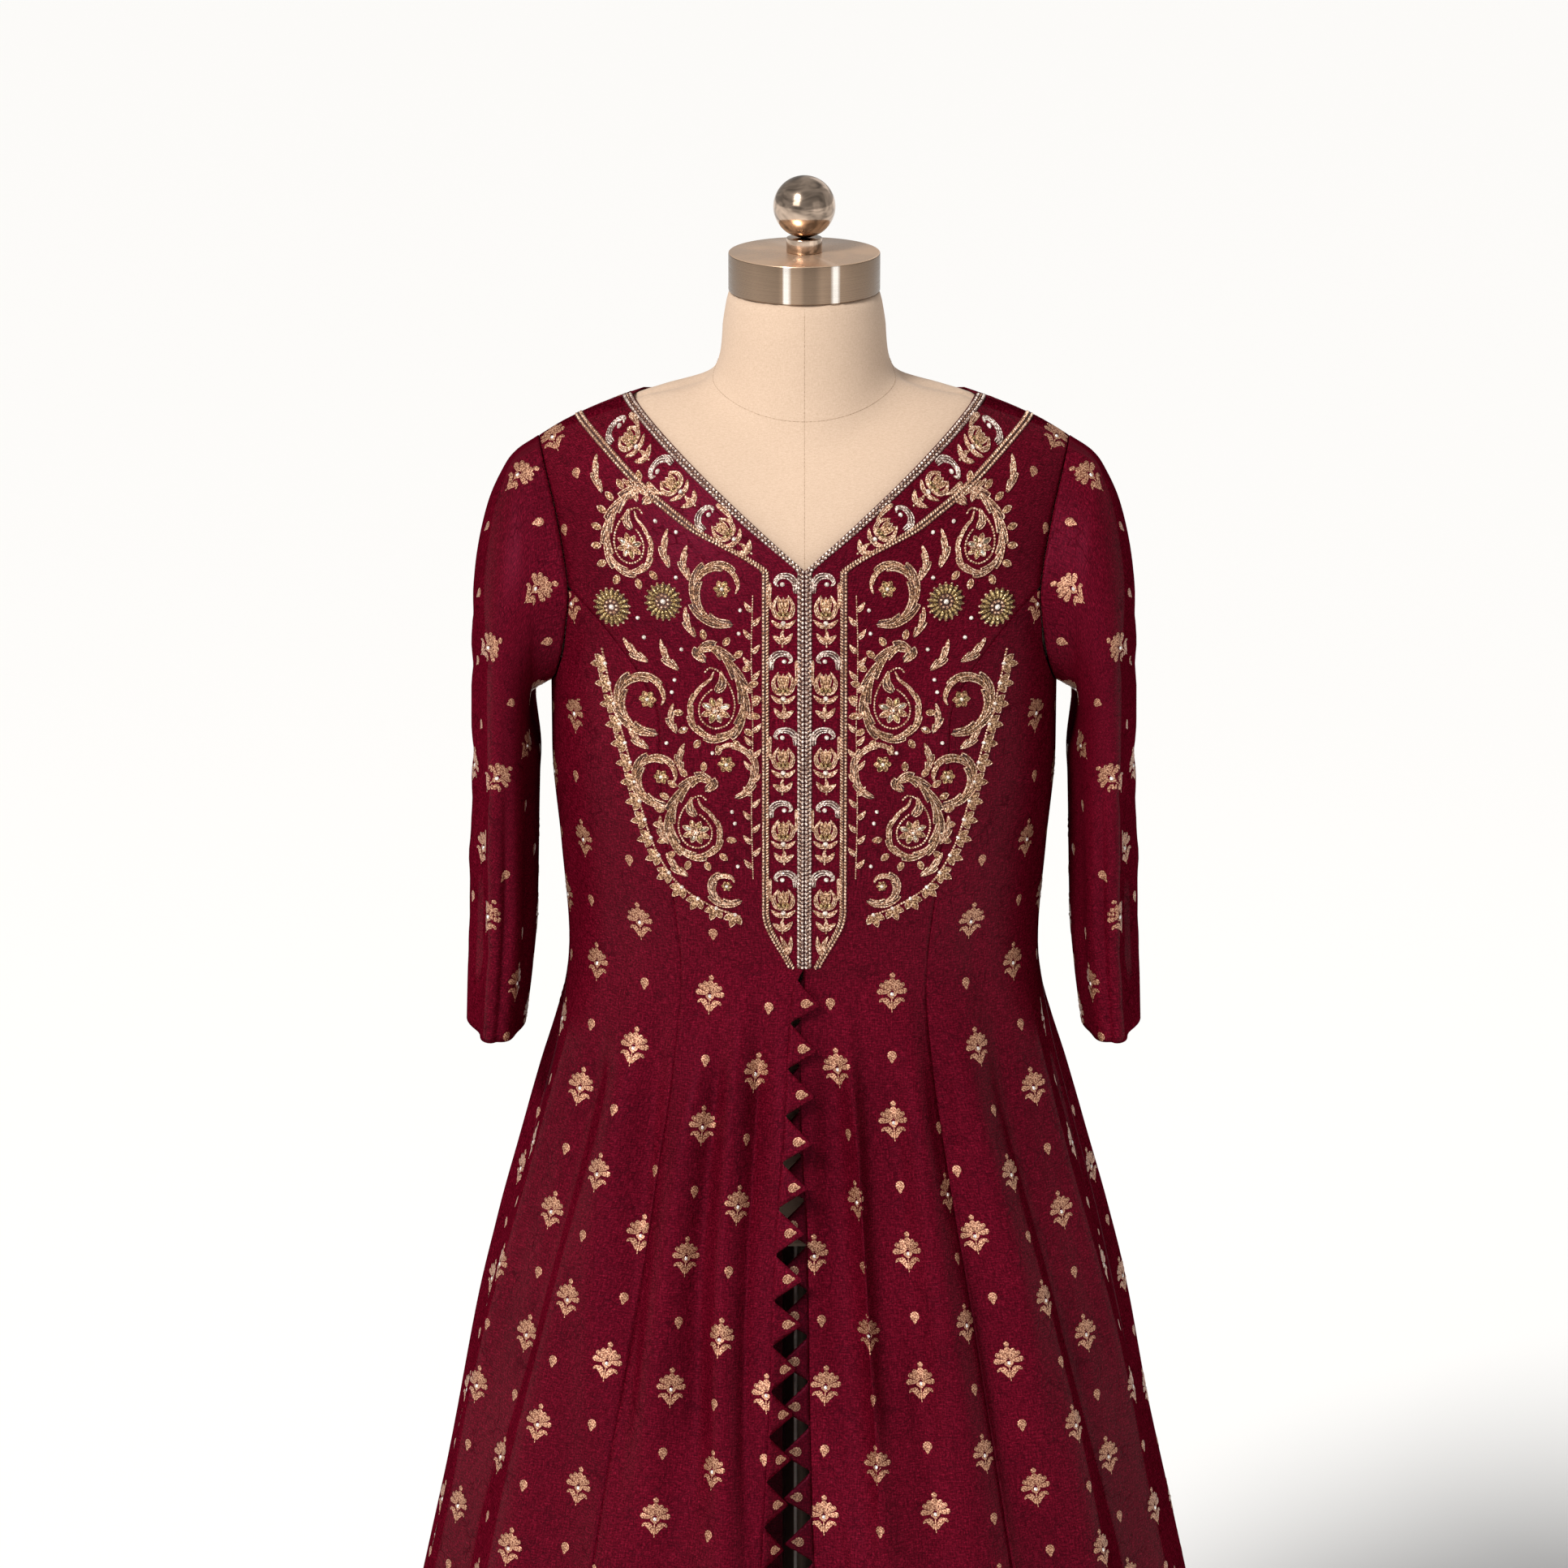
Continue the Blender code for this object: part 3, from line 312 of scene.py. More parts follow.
SECTION_COLUMNS = ("half_width", "front_depth", "back_depth", "squareness")
DRESS = {column: reader(DRESS_SECTIONS, "z", column) for column in SECTION_COLUMNS}
FORM = {column: reader(FORM_SECTIONS, "z", column) for column in SECTION_COLUMNS}
RIDGE = reader(SHOULDER_LINE, "x", "z")
FRONT_SEAM_AT = reader(FRONT_SEAM, "level", "angle")
BACK_SEAM_AT = reader(BACK_SEAM, "level", "angle")
FRONT_ARMHOLE_AT = reader(FRONT_ARMHOLE, "level", "angle")
BACK_ARMHOLE_AT = reader(BACK_ARMHOLE, "level", "angle")


# The surface

def unit(vectors):
    return vectors / np.maximum(np.linalg.norm(vectors, axis=-1, keepdims=True), 1e-12)


def section_reach(section, angle, z):
    """How far a level section reaches from the axis at angles."""
    turn = np.radians(angle)
    across, along = np.abs(np.sin(turn)), np.cos(turn)
    power = section["squareness"](z)
    depth = np.where(along > 0, section["front_depth"](z), section["back_depth"](z))
    share = (across / section["half_width"](z)) ** power + (np.abs(along) / depth) ** power
    return share ** (-1 / power)


def fold_rise(angle, z):
    """How far the skirt's large folds stand out from the section."""
    rise = np.zeros(np.broadcast(angle, z).shape)
    for fold in FOLDS:
        away = (angle - fold["angle"] + 180) % 360 - 180
        grown = np.clip((fold["top"] - z) / (fold["top"] - HEM_Z), 0, None) ** FOLD_GROWTH
        crest = np.cos(np.pi / 2 * np.clip(away / fold["half_reach"], -1, 1)) ** 2
        rise = rise + fold["rise"] * grown * crest
    return rise


def surface(angle, level, section=DRESS, folds=True, sunk=0.0):
    """Points of the body's surface at angles and levels."""
    angle, level = np.broadcast_arrays(np.asarray(angle, float), np.asarray(level, float))
    turn = np.radians(angle)
    low = np.minimum(level, ARMPIT_Z)
    reach = section_reach(section, angle, low)
    if folds:
        reach = reach + np.where(level < ARMPIT_Z, fold_rise(angle, low), 0.0)
    climb = np.clip((level - ARMPIT_Z) / (RIDGE_LEVEL - ARMPIT_Z), 0, 1)
    in_front = np.cos(turn) > 0
    fall = np.where(in_front, CHEST_FALL, BACK_FALL)
    roundness = np.where(in_front, CHEST_ROUND, BACK_ROUND)
    fullness = (1 - climb**fall) ** roundness
    x = reach * np.sin(turn) * (1 + SHOULDER_SPREAD * climb)
    y = MIDDLE_Y + (RIDGE_Y - MIDDLE_Y) * climb - reach * np.cos(turn) * fullness
    z = np.where(level <= ARMPIT_Z, level, ARMPIT_Z + climb * (RIDGE(np.abs(x)) - sunk - ARMPIT_Z))
    return np.stack([x, y, z], axis=-1)


def solve(high_side, low, high):
    """Where high_side turns true between low and high, for arrays."""
    low, high = np.array(low, float), np.array(high, float)
    for _ in range(SOLVING_ROUNDS):
        middle = (low + high) / 2
        over = high_side(middle)
        high = np.where(over, middle, high)
        low = np.where(over, low, middle)
    return (low + high) / 2


def turned_by(angle, level, distance):
    """The angle that lies a distance along the row from another angle."""
    step = ANGLE_STEP * np.sign(distance)
    apart = np.linalg.norm(surface(angle + step, level) - surface(angle, level), axis=-1)
    return angle + distance / (apart / ANGLE_STEP)


def front_neck_angle(levels):
    """Where the V of the front neck cuts the rows."""
    def outside(angle):
        point = surface(angle, levels)
        return APEX_Z + (NECK_SIDE_Z - APEX_Z) * point[..., 0] / NECK_HALF_WIDTH > point[..., 2]

    found = solve(outside, np.zeros(len(levels)), np.full(len(levels), NEARLY_SIDE))
    return np.where(levels <= APEX_Z, 0.0, found)


def back_neck_angle(levels):
    """Where the round back neck cuts the rows."""
    def outside(angle):
        point = surface(angle, levels)
        share = np.clip(point[..., 0] / NECK_HALF_WIDTH, 0, 1)
        return BACK_NECK_Z + (NECK_SIDE_Z - BACK_NECK_Z) * share**BACK_NECK_BOW <= point[..., 2]

    found = solve(outside, np.full(len(levels), PAST_SIDE), np.full(len(levels), 180.0))
    middle = surface(np.full(len(levels), 180.0), levels)[:, 2]
    return np.where(middle <= BACK_NECK_Z, 180.0, found)


def angle_at_x(x, levels):
    """The angles at which rows of the front pass a distance from the middle."""
    ends = np.full(len(levels), NEARLY_SIDE)
    return solve(lambda a: surface(a, levels)[..., 0] > x, -ends, ends)


# Cloth shells

def crease_rise(angle, level):
    """What the creases add along the normal."""
    rise = np.zeros(angle.shape)
    for crease in CREASES:
        span = crease["top_level"] - crease["low_level"]
        down = (crease["top_level"] - level) / span
        centre = crease["top_angle"] + (crease["low_angle"] - crease["top_angle"]) * down
        centre = centre + CREASE_SWAY * np.sin(down * CREASE_WAVES + crease["top_angle"])
        away = (angle - centre + 180) % 360 - 180
        reach = section_reach(DRESS, angle, np.minimum(level, ARMPIT_Z))
        offset = np.radians(away) * reach / crease["half_width"]
        fade = np.clip(np.minimum(down / CREASE_FADE_IN, (1.0 - down) / CREASE_FADE_OUT), 0, 1)
        rise += crease["depth"] * np.exp(-(offset**2)) * fade * fade * (3 - 2 * fade)
    return rise


def grid_normals(points, wrapped=False):
    """Outward normals of a grid whose rows go round and whose columns go up."""
    if wrapped:
        padded = np.concatenate([points[:, -1:], points, points[:, :1]], axis=1)
        around = padded[:, 2:] - padded[:, :-2]
    else:
        around = np.gradient(points, axis=1)
    up = np.gradient(points, axis=0)
    return unit(np.cross(around, up))


def lengths(points, axis):
    """How far each point of a grid lies along its row or column."""
    steps = np.linalg.norm(np.diff(points, axis=axis), axis=-1)
    start = np.zeros_like(steps[:1] if axis == 0 else steps[:, :1])
    return np.cumsum(np.concatenate([start, steps], axis=axis), axis=axis)


def run_of(path):
    """How far along a path each of its points lies."""
    return lengths(path[None], 1)[0]


def closing_width(sheet):
    """The last gap of a tube, from its last column to its first."""
    return np.linalg.norm(sheet["points"][:, 0] - sheet["points"][:, -1], axis=1)


def cloth_levels(low, high):
    """Levels of a shell's rows, closer together above the waist."""
    rows = []
    start = max(low, FINER_ROWS_FROM)
    if low < start:
        rows += list(np.linspace(low, start, max(2, round((start - low) / ROW_HEIGHT)) + 1)[:-1])
    rows += list(np.linspace(start, high, max(2, round((high - start) / BODICE_ROW_HEIGHT)) + 1))
    return np.array(rows)


def sheet_of(points, normals, wrapped=False, middle_column=None):
    """A sheet's grid with its cloth coordinates: across from the middle column, up from the lowest row."""
    columns = points.shape[1]
    middle = columns // 2 if middle_column is None else middle_column
    across = lengths(points, 1)
    across = across - across[:, middle : middle + 1]
    up = lengths(points, 0)[:, middle : middle + 1]
    up = np.broadcast_to(up, across.shape)
    return {"points": points, "normals": normals, "across": across, "up": up, "wrapped": wrapped}


def dip_at_seams(points, normals, left=True, right=True):
    """The cloth sinks a little where it is stitched to the next panel."""
    across = lengths(points, 1)
    total = across[:, -1:]
    depth = np.zeros(across.shape)
    if left:
        depth += np.exp(-((across / SEAM_REACH) ** 2))
    if right:
        depth += np.exp(-(((total - across) / SEAM_REACH) ** 2))
    return points - normals * (SEAM_DIP * np.clip(depth, 0, 1))[..., None]


def mirrored(sheet):
    """The same sheet on the other side of the middle, its columns turned round so that it still faces out."""
    flip = np.array([-1.0, 1.0, 1.0])
    return {
        "points": sheet["points"][:, ::-1] * flip,
        "normals": sheet["normals"][:, ::-1] * flip,
        "across": -sheet["across"][:, ::-1],
        "up": sheet["up"][:, ::-1],
        "wrapped": sheet["wrapped"],
    }


def panel(levels, starts, ends):
    """Points and normals of a creased panel between two edges."""
    widest = np.max(np.radians(np.abs(ends - starts)) * section_reach(DRESS, (starts + ends) / 2, levels))
    columns = max(LEAST_COLUMNS, int(widest * FOLD_ALLOWANCE / COLUMN_WIDTH))
    shares = np.linspace(0, 1, columns + 1)
    angles = starts[:, None] + (ends - starts)[:, None] * shares[None, :]
    rows = np.broadcast_to(levels[:, None], angles.shape)
    points = surface(angles, rows)
    points = points + grid_normals(points) * crease_rise(angles, rows)[..., None]
    return points, grid_normals(points)


def front_edge(levels, side):
    """Where the centre front ends at the slit, the middle and the neck."""
    slit_x = np.array([smooth(SLIT, "level", "left_edge" if side > 0 else "right_edge", v) for v in levels])
    at_slit = angle_at_x(slit_x * side, levels)
    start = np.where(levels > TIP_Z, front_neck_angle(levels), at_slit)
    return turned_by(start, levels, SEAM / 2)


def centre_front(side):
    """One half of the centre front, its lap sunk or raised beside the slit."""
    levels = np.unique(np.append(cloth_levels(HEM_Z, RIDGE_LEVEL), [TIP_Z, APEX_Z, SIDE_PANEL_TOP]))
    seam = np.where(levels <= SIDE_PANEL_TOP, FRONT_SEAM_AT(levels), FRONT_ARMHOLE_AT(levels))
    ends = np.where(levels <= SIDE_PANEL_TOP, turned_by(seam, levels, -SEAM / 2), seam)
    starts = front_edge(levels, side)
    if side < 0:
        points, normals = panel(levels, -ends, -starts)
        edge = -1
    else:
        points, normals = panel(levels, starts, ends)
        edge = 0
    away = np.linalg.norm(points - points[:, edge : edge + 1 or None], axis=-1)
    fade = np.clip((LAP_FADE_END - away) / (LAP_FADE_END - LAP_FADE_START), 0, 1)
    sunk = np.array([smooth(SLIT, "level", "left_sunk", v) for v in levels]) if side > 0 else -RIGHT_RAISED
    sunk = (sunk * (levels < TIP_Z))[:, None]
    points = points - normals * (sunk * fade)[..., None]
    points[-1, :, 1] -= SEAM / 2
    points = dip_at_seams(points, normals, left=side < 0, right=side > 0)
    return sheet_of(points, grid_normals(points))


def side_front():
    """Levels and edges of the left side front."""
    levels = cloth_levels(HEM_Z, SIDE_PANEL_TOP)
    side_seam = turned_by(np.full(len(levels), 90.0), levels, -SEAM / 2)
    ends = np.where(levels > ARMPIT_Z, FRONT_ARMHOLE_AT(levels), side_seam)
    starts = turned_by(FRONT_SEAM_AT(levels), levels, SEAM / 2)
    return levels, starts, ends


def side_back():
    """Levels and edges of the left side back."""
    levels = cloth_levels(HEM_Z, SIDE_PANEL_TOP)
    side_seam = turned_by(np.full(len(levels), 90.0), levels, SEAM / 2)
    starts = np.where(levels > ARMPIT_Z, BACK_ARMHOLE_AT(levels), side_seam)
    ends = turned_by(BACK_SEAM_AT(levels), levels, -SEAM / 2)
    return levels, starts, ends


def side_sheet(edges, side):
    """A side panel on either side, from the left one's edges."""
    levels, starts, ends = edges
    if side < 0:
        starts, ends = -ends, -starts
    points, normals = panel(levels, starts, ends)
    points = dip_at_seams(points, normals)
    return sheet_of(points, grid_normals(points))


def half_back():
    """The left half of the centre back, its columns running in to the middle or to the neck."""
    levels = np.unique(np.append(cloth_levels(HEM_Z, RIDGE_LEVEL), [SIDE_PANEL_TOP]))
    seam = np.where(levels <= SIDE_PANEL_TOP, BACK_SEAM_AT(levels), BACK_ARMHOLE_AT(levels))
    starts = np.where(levels <= SIDE_PANEL_TOP, turned_by(seam, levels, SEAM / 2), seam)
    return levels, starts, back_neck_angle(levels)


def half_back_sheet(edges, side):
    """One half of the centre back, from the left one's edges."""
    levels, starts, ends = edges
    if side < 0:
        starts, ends = -ends, -starts
    points, normals = panel(levels, starts, ends)
    points[-1, :, 1] += SEAM / 2
    points = dip_at_seams(points, normals, left=side > 0, right=side < 0)
    middle = 0 if side < 0 else points.shape[1] - 1
    return sheet_of(points, grid_normals(points), middle_column=middle)


# Sleeves

SLEEVE_STEPS, SLEEVE_ROWS, ARMHOLE_CROWDING, EDGE_PROBE = 38, 84, 1.6, 0.004
KEPT_CLEAR, SLANT_TURN = slice(6, -4), 60.0
SLEEVE_CREASES = table(
    "turn height depth half_turn half_height slant",
    (20.0, 1.245, -0.0017, 42.0, 0.010, 0.020),
    (330.0, 1.205, -0.0019, 50.0, 0.009, -0.026),
    (60.0, 1.175, 0.0014, 46.0, 0.011, 0.018),
    (15.0, 1.135, -0.0020, 60.0, 0.010, 0.014),
    (310.0, 1.105, -0.0015, 46.0, 0.009, -0.020),
    (75.0, 1.085, -0.0017, 52.0, 0.010, 0.022),
    (350.0, 1.050, 0.0014, 58.0, 0.012, -0.012),
    (40.0, 1.015, -0.0014, 48.0, 0.010, 0.018),
    (300.0, 0.985, -0.0012, 44.0, 0.010, -0.014),
    (318.0, 1.020, -0.0062, 15.0, 0.150, 0.0),
    (285.0, 1.060, 0.0034, 15.0, 0.130, 0.0),
    (352.0, 1.000, 0.0030, 14.0, 0.110, 0.0),
    (262.0, 1.000, -0.0054, 13.0, 0.120, 0.0),
    (46.0, 1.040, -0.0056, 15.0, 0.150, 0.0),
    (92.0, 1.010, -0.0050, 14.0, 0.120, 0.0),
    (215.0, 1.020, -0.0044, 15.0, 0.110, 0.0),
)


def curve_through(rows, count):
    """Rows of points joined by a smooth curve and cut into a count of rows."""
    rows = np.asarray(rows)
    padded = np.concatenate([2 * rows[:1] - rows[1:2], rows, 2 * rows[-1:] - rows[-2:-1]])
    places = np.linspace(0, len(rows) - 1, count)
    made = []
    for place in places:
        i = min(int(place), len(rows) - 2)
        t = place - i
        a, b, c, d = padded[i], padded[i + 1], padded[i + 2], padded[i + 3]
        bent, twisted = 2 * a - 5 * b + 4 * c - d, 3 * b - a - 3 * c + d
        made.append(0.5 * (2 * b + (c - a) * t + bent * t * t + twisted * t**3))
    return np.array(made)


def clear_of_body(points):
    """Moves points of the sleeve out to where they clear the bodice."""
    z = np.minimum(points[..., 2], ARMPIT_Z)
    depth = np.where(points[..., 1] < MIDDLE_Y, DRESS["front_depth"](z), DRESS["back_depth"](z))
    power = DRESS["squareness"](z)
    share = np.clip(np.abs(points[..., 1] - MIDDLE_Y) / depth, 0, 1)
    side = DRESS["half_width"](z) * (1 - share**power) ** (1 / power)
    out = points.copy()
    out[..., 0] = np.maximum(points[..., 0], side + SLEEVE_CLEARANCE)
    return out


def armhole():
    """The left armhole's edge and its normals: down its back from the shoulder, up its front."""
    share = np.linspace(0, 1, SLEEVE_STEPS + 1)
    levels = ARMPIT_Z + (RIDGE_LEVEL - ARMPIT_Z) * share**ARMHOLE_CROWDING
    behind_angles, front_angles = BACK_ARMHOLE_AT(levels), FRONT_ARMHOLE_AT(levels)
    loops, normals = [], []
    for angles in (behind_angles, front_angles):
        here = surface(angles, levels)
        low = surface(angles, np.maximum(levels - EDGE_PROBE, ARMPIT_Z - EDGE_PROBE))
        around = surface(angles + ANGLE_STEP, levels) - surface(angles - ANGLE_STEP, levels)
        loops.append(here)
        normals.append(unit(np.cross(around, here - low)))
    loop = np.concatenate([loops[0][::-1], loops[1][1:-1]])
    ups = np.concatenate([normals[0][::-1], normals[1][1:-1]])
    ups[0] = (0.0, 0.0, 1.0)
    return loop, unit(ups)


def sleeve_sheet():
    """The left sleeve: from the armhole's edge over the ovals to the cuff, with its creases."""
    loop, ups = armhole()
    centre_of = lambda ring: (ring.min(axis=0) + ring.max(axis=0)) / 2
    middle = centre_of(loop)
    steps = np.linalg.norm(np.roll(loop, -1, axis=0) - loop, axis=1)
    bottom = int(np.argmin(loop[:, 2]))
    gone = np.concatenate([[0], np.cumsum(steps)[:-1]])
    down, whole = gone[bottom], steps.sum()
    turns = np.where(gone <= down, np.pi * gone / down, np.pi * (1 + (gone - down) / (whole - down)))
    rings = []
    for row in SLEEVE_SECTIONS:
        outer = np.array((row["outer_x"], SLEEVE_CENTRE_Y, row["outer_z"]))
        inner = np.array((row["inner_x"], SLEEVE_CENTRE_Y, row["inner_z"]))
        centre = (outer + inner) / 2
        oval = centre + (outer - inner) / 2 * np.cos(turns)[:, None]
        oval[:, 1] += row["half_depth"] * np.sin(turns)
        share = row["to_oval"]
        rings.append(clear_of_body((loop + centre - middle) * (1 - share) + oval * share))
    leaving = rings[0] - loop
    along = unit(np.roll(loop, -1, axis=0) - np.roll(loop, 1, axis=0))
    onward = unit(np.cross(along, ups))
    ahead = np.sum(leaving * onward, axis=1)
    out = np.sum(leaving * ups, axis=1)
    size = np.hypot(ahead, out)
    ahead, out = ahead / size, out / size
    lift = np.where(ahead > 0, np.clip(out, 0, None), 1.0)
    leading = onward * (SLEEVE_GAP * np.clip(ahead, 0, None))[:, None]
    first = loop + leading + ups * (SLEEVE_GAP * lift)[:, None]
    grid = curve_through(np.array([first] + rings), SLEEVE_ROWS)[::-1]
    normals = grid_normals(grid, wrapped=True)
    degrees = np.degrees(turns)[None, :]
    for crease in SLEEVE_CREASES:
        away = (degrees - crease["turn"] + 180) % 360 - 180
        height = crease["height"] + crease["slant"] * away / SLANT_TURN
        offset = (grid[..., 2] - height) / crease["half_height"]
        reach = np.exp(-((away / crease["half_turn"]) ** 2)) * np.exp(-(offset**2))
        grid = grid + normals * (crease["depth"] * reach)[..., None]
    grid[KEPT_CLEAR] = clear_of_body(grid[KEPT_CLEAR])
    return sheet_of(grid, grid_normals(grid, wrapped=True), wrapped=True, middle_column=0)


# Meshes

SHARP_ANGLE = math.radians(40)


def mesh_piece(name, points, faces, looks, uv=None, indices=None):
    """A mesh object in some materials that rides on the root body."""
    mesh = bpy.data.meshes.new(name)
    mesh.from_pydata([tuple(p) for p in np.asarray(points).reshape(-1, 3)], [], faces)
    if uv is not None:
        layer = mesh.uv_layers.new(name="cloth")
        corners = np.empty(len(mesh.loops), dtype=np.int32)
        mesh.loops.foreach_get("vertex_index", corners)
        layer.data.foreach_set("uv", np.asarray(uv, dtype=np.float32)[corners].ravel())
    for look in looks:
        mesh.materials.append(look)
    if indices is not None:
        mesh.polygons.foreach_set("material_index", np.asarray(indices, dtype=np.int32))
    mesh.shade_smooth()
    piece = linked(name, mesh)
    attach(piece, "root")
    return piece


def sheet_faces(sheet, start=0):
    """Four-cornered faces of a sheet's grid."""
    rows, columns = sheet["points"].shape[:2]
    faces = []
    spans = columns if sheet["wrapped"] else columns - 1
    for row in range(rows - 1):
        low, high = start + row * columns, start + (row + 1) * columns
        for column in range(spans):
            after = (column + 1) % columns
            faces.append((low + column, low + after, high + after, high + column))
    return faces


def weld(piece):
    """Joins corners that lie in one place."""
    made = bmesh.new()
    made.from_mesh(piece.data)
    bmesh.ops.remove_doubles(made, verts=made.verts, dist=WELD_REACH)
    made.to_mesh(piece.data)
    made.free()
    piece.data.shade_smooth()


def silk_skin(piece, replaced):
    """Thickens a silk shell inwards, in its solid's place."""
    skin = piece.modifiers.new("Thickness", "SOLIDIFY")
    skin.thickness = SKIN
    skin.offset = -1.0
    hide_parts(replaced)


def cloth_piece(name, sheets, silk, replaced):
    """One silk shell of one sheet or of two that meet."""
    points, faces, uv = [], [], []
    for sheet in sheets:
        faces += sheet_faces(sheet, sum(len(p) for p in points))
        points.append(sheet["points"].reshape(-1, 3))
        uv.append(np.stack([sheet["across"].ravel(), sheet["up"].ravel()], axis=1))
    piece = mesh_piece(name, np.concatenate(points), faces, [silk], np.concatenate(uv))
    if len(sheets) > 1:
        weld(piece)
    silk_skin(piece, replaced)
    return piece


def turned(name, profile, steps, look, slot, replaced, y):
    """A turned piece: a profile of (radius, z) from the axis at its top to the axis at its bottom."""
    count = len(profile) - 2
    angles = np.linspace(0, 2 * np.pi, steps, endpoint=False)
    points = [(0.0, y, profile[0][1])]
    for radius, z in profile[1:-1]:
        points += [(radius * math.cos(a), y + radius * math.sin(a), z) for a in angles]
    points.append((0.0, y, profile[-1][1]))
    last = len(points) - 1
    faces = []
    for k in range(steps):
        after = (k + 1) % steps
        faces.append((0, 1 + k, 1 + after))
        faces.append((last, 1 + (count - 1) * steps + after, 1 + (count - 1) * steps + k))
        for ring in range(count - 1):
            high, low = 1 + ring * steps, 1 + (ring + 1) * steps
            faces.append((high + k, low + k, low + after, high + after))
    piece = mesh_piece(name, points, faces, [look])
    piece.data.set_sharp_from_angle(angle=SHARP_ANGLE)
    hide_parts(replaced)


# Materials

def shader_of(name, colour, roughness, metallic=0.0):
    """A new material with its node tree and shader."""
    made = bpy.data.materials.new(name)
    made.use_nodes = True
    tree = made.node_tree
    shader = tree.nodes["Principled BSDF"]
    shader.inputs["Base Color"].default_value = (*colour, 1.0)
    shader.inputs["Roughness"].default_value = roughness
    shader.inputs["Metallic"].default_value = metallic
    return made, tree, shader


def node(tree, kind, **settings):
    """A new node, each setting an input's value or a property."""
    made = tree.nodes.new(kind)
    for name, value in settings.items():
        if name in made.inputs:
            made.inputs[name].default_value = value
        else:
            setattr(made, name, value)
    return made


def stretched(tree, scale=(1.0, 1.0, 1.0), source="UV", rotation=(0.0, 0.0, 0.0), moved=(0.0, 0.0, 0.0)):
    """Texture coordinates in the cloth's own metres, stretched by a scale."""
    coords = node(tree, "ShaderNodeTexCoord")
    mapping = node(tree, "ShaderNodeMapping")
    mapping.inputs["Scale"].default_value = scale
    mapping.inputs["Rotation"].default_value = rotation
    mapping.inputs["Location"].default_value = moved
    tree.links.new(coords.outputs[source], mapping.inputs["Vector"])
    return mapping.outputs["Vector"]


def ramp(tree, source, stops):
    """A colour ramp through stops of a position and a colour."""
    made = node(tree, "ShaderNodeValToRGB")
    elements = made.color_ramp.elements
    while len(elements) < len(stops):
        elements.new(0.5)
    for element, (position, colour) in zip(elements, stops):
        element.position = position
        element.color = (*colour, 1.0)
    tree.links.new(source, made.inputs["Fac"])
    return made.outputs["Color"]


def grey(value):
    return (value, value, value)


def greys(tree, source, *stops):
    """A ramp through stops of a position and how light its grey is."""
    return ramp(tree, source, [(position, grey(value)) for position, value in stops])


def mixed(tree, factor, first, second, blend="MIX"):
    made = node(tree, "ShaderNodeMix", data_type="RGBA", blend_type=blend)
    for socket, value in ((made.inputs[0], factor), (made.inputs[6], first), (made.inputs[7], second)):
        if isinstance(value, (tuple, float)):
            socket.default_value = value if isinstance(value, float) else (*value, 1.0)
        else:
            tree.links.new(value, socket)
    return made.outputs[2]


def math_of(tree, operation, first, second):
    made = node(tree, "ShaderNodeMath", operation=operation)
    for socket, value in zip(made.inputs, (first, second)):
        if isinstance(value, float):
            socket.default_value = value
        else:
            tree.links.new(value, socket)
    return made.outputs[0]


def bumped(tree, shader, height, strength, distance):
    """Lets a height stand out of the surface."""
    made = node(tree, "ShaderNodeBump", Strength=strength, Distance=distance)
    tree.links.new(height, made.inputs["Height"])
    tree.links.new(made.outputs["Normal"], shader.inputs["Normal"])


def noise(tree, places, output="Fac", **settings):
    made = node(tree, "ShaderNodeTexNoise", **settings)
    tree.links.new(places, made.inputs["Vector"])
    return made.outputs[output]


def wires(tree, direction, fineness, unevenness):
    """Metal thread that runs side by side in one direction of the cloth."""
    made = node(tree, "ShaderNodeTexWave", wave_type="BANDS", bands_direction=direction)
    made.inputs["Scale"].default_value = 1.0
    made.inputs["Distortion"].default_value = unevenness
    tree.links.new(stretched(tree, (fineness, fineness, 1.0)), made.inputs["Vector"])
    return made


def clouded(tree, tone, places, scale, detail, low, high):
    """A tone that drifts a little, lighter and darker, from place to place."""
    cloud = greys(tree, noise(tree, places, Scale=scale, Detail=detail), (0.3, low), (0.7, high))
    return mixed(tree, 1.0, tone, cloud, "MULTIPLY")


def crossed(tree, first, second):
    """The mean of two runs of threads."""
    return math_of(tree, "MULTIPLY", math_of(tree, "ADD", first, second), 0.5)


def shaded(colour, share):
    return tuple(c * share for c in colour)


SILK_COLOUR = (0.075, 0.0015, 0.0070)
SILK_DARK = (0.036, 0.0006, 0.0030)
SILK_LIGHT = (0.132, 0.0040, 0.0150)
# How much darker the silk and woven gold of the points under the slit's lap are made: painted shade for the
# lap's shadow.
PAINTED_SHADE_UNDER_LAP = 0.45


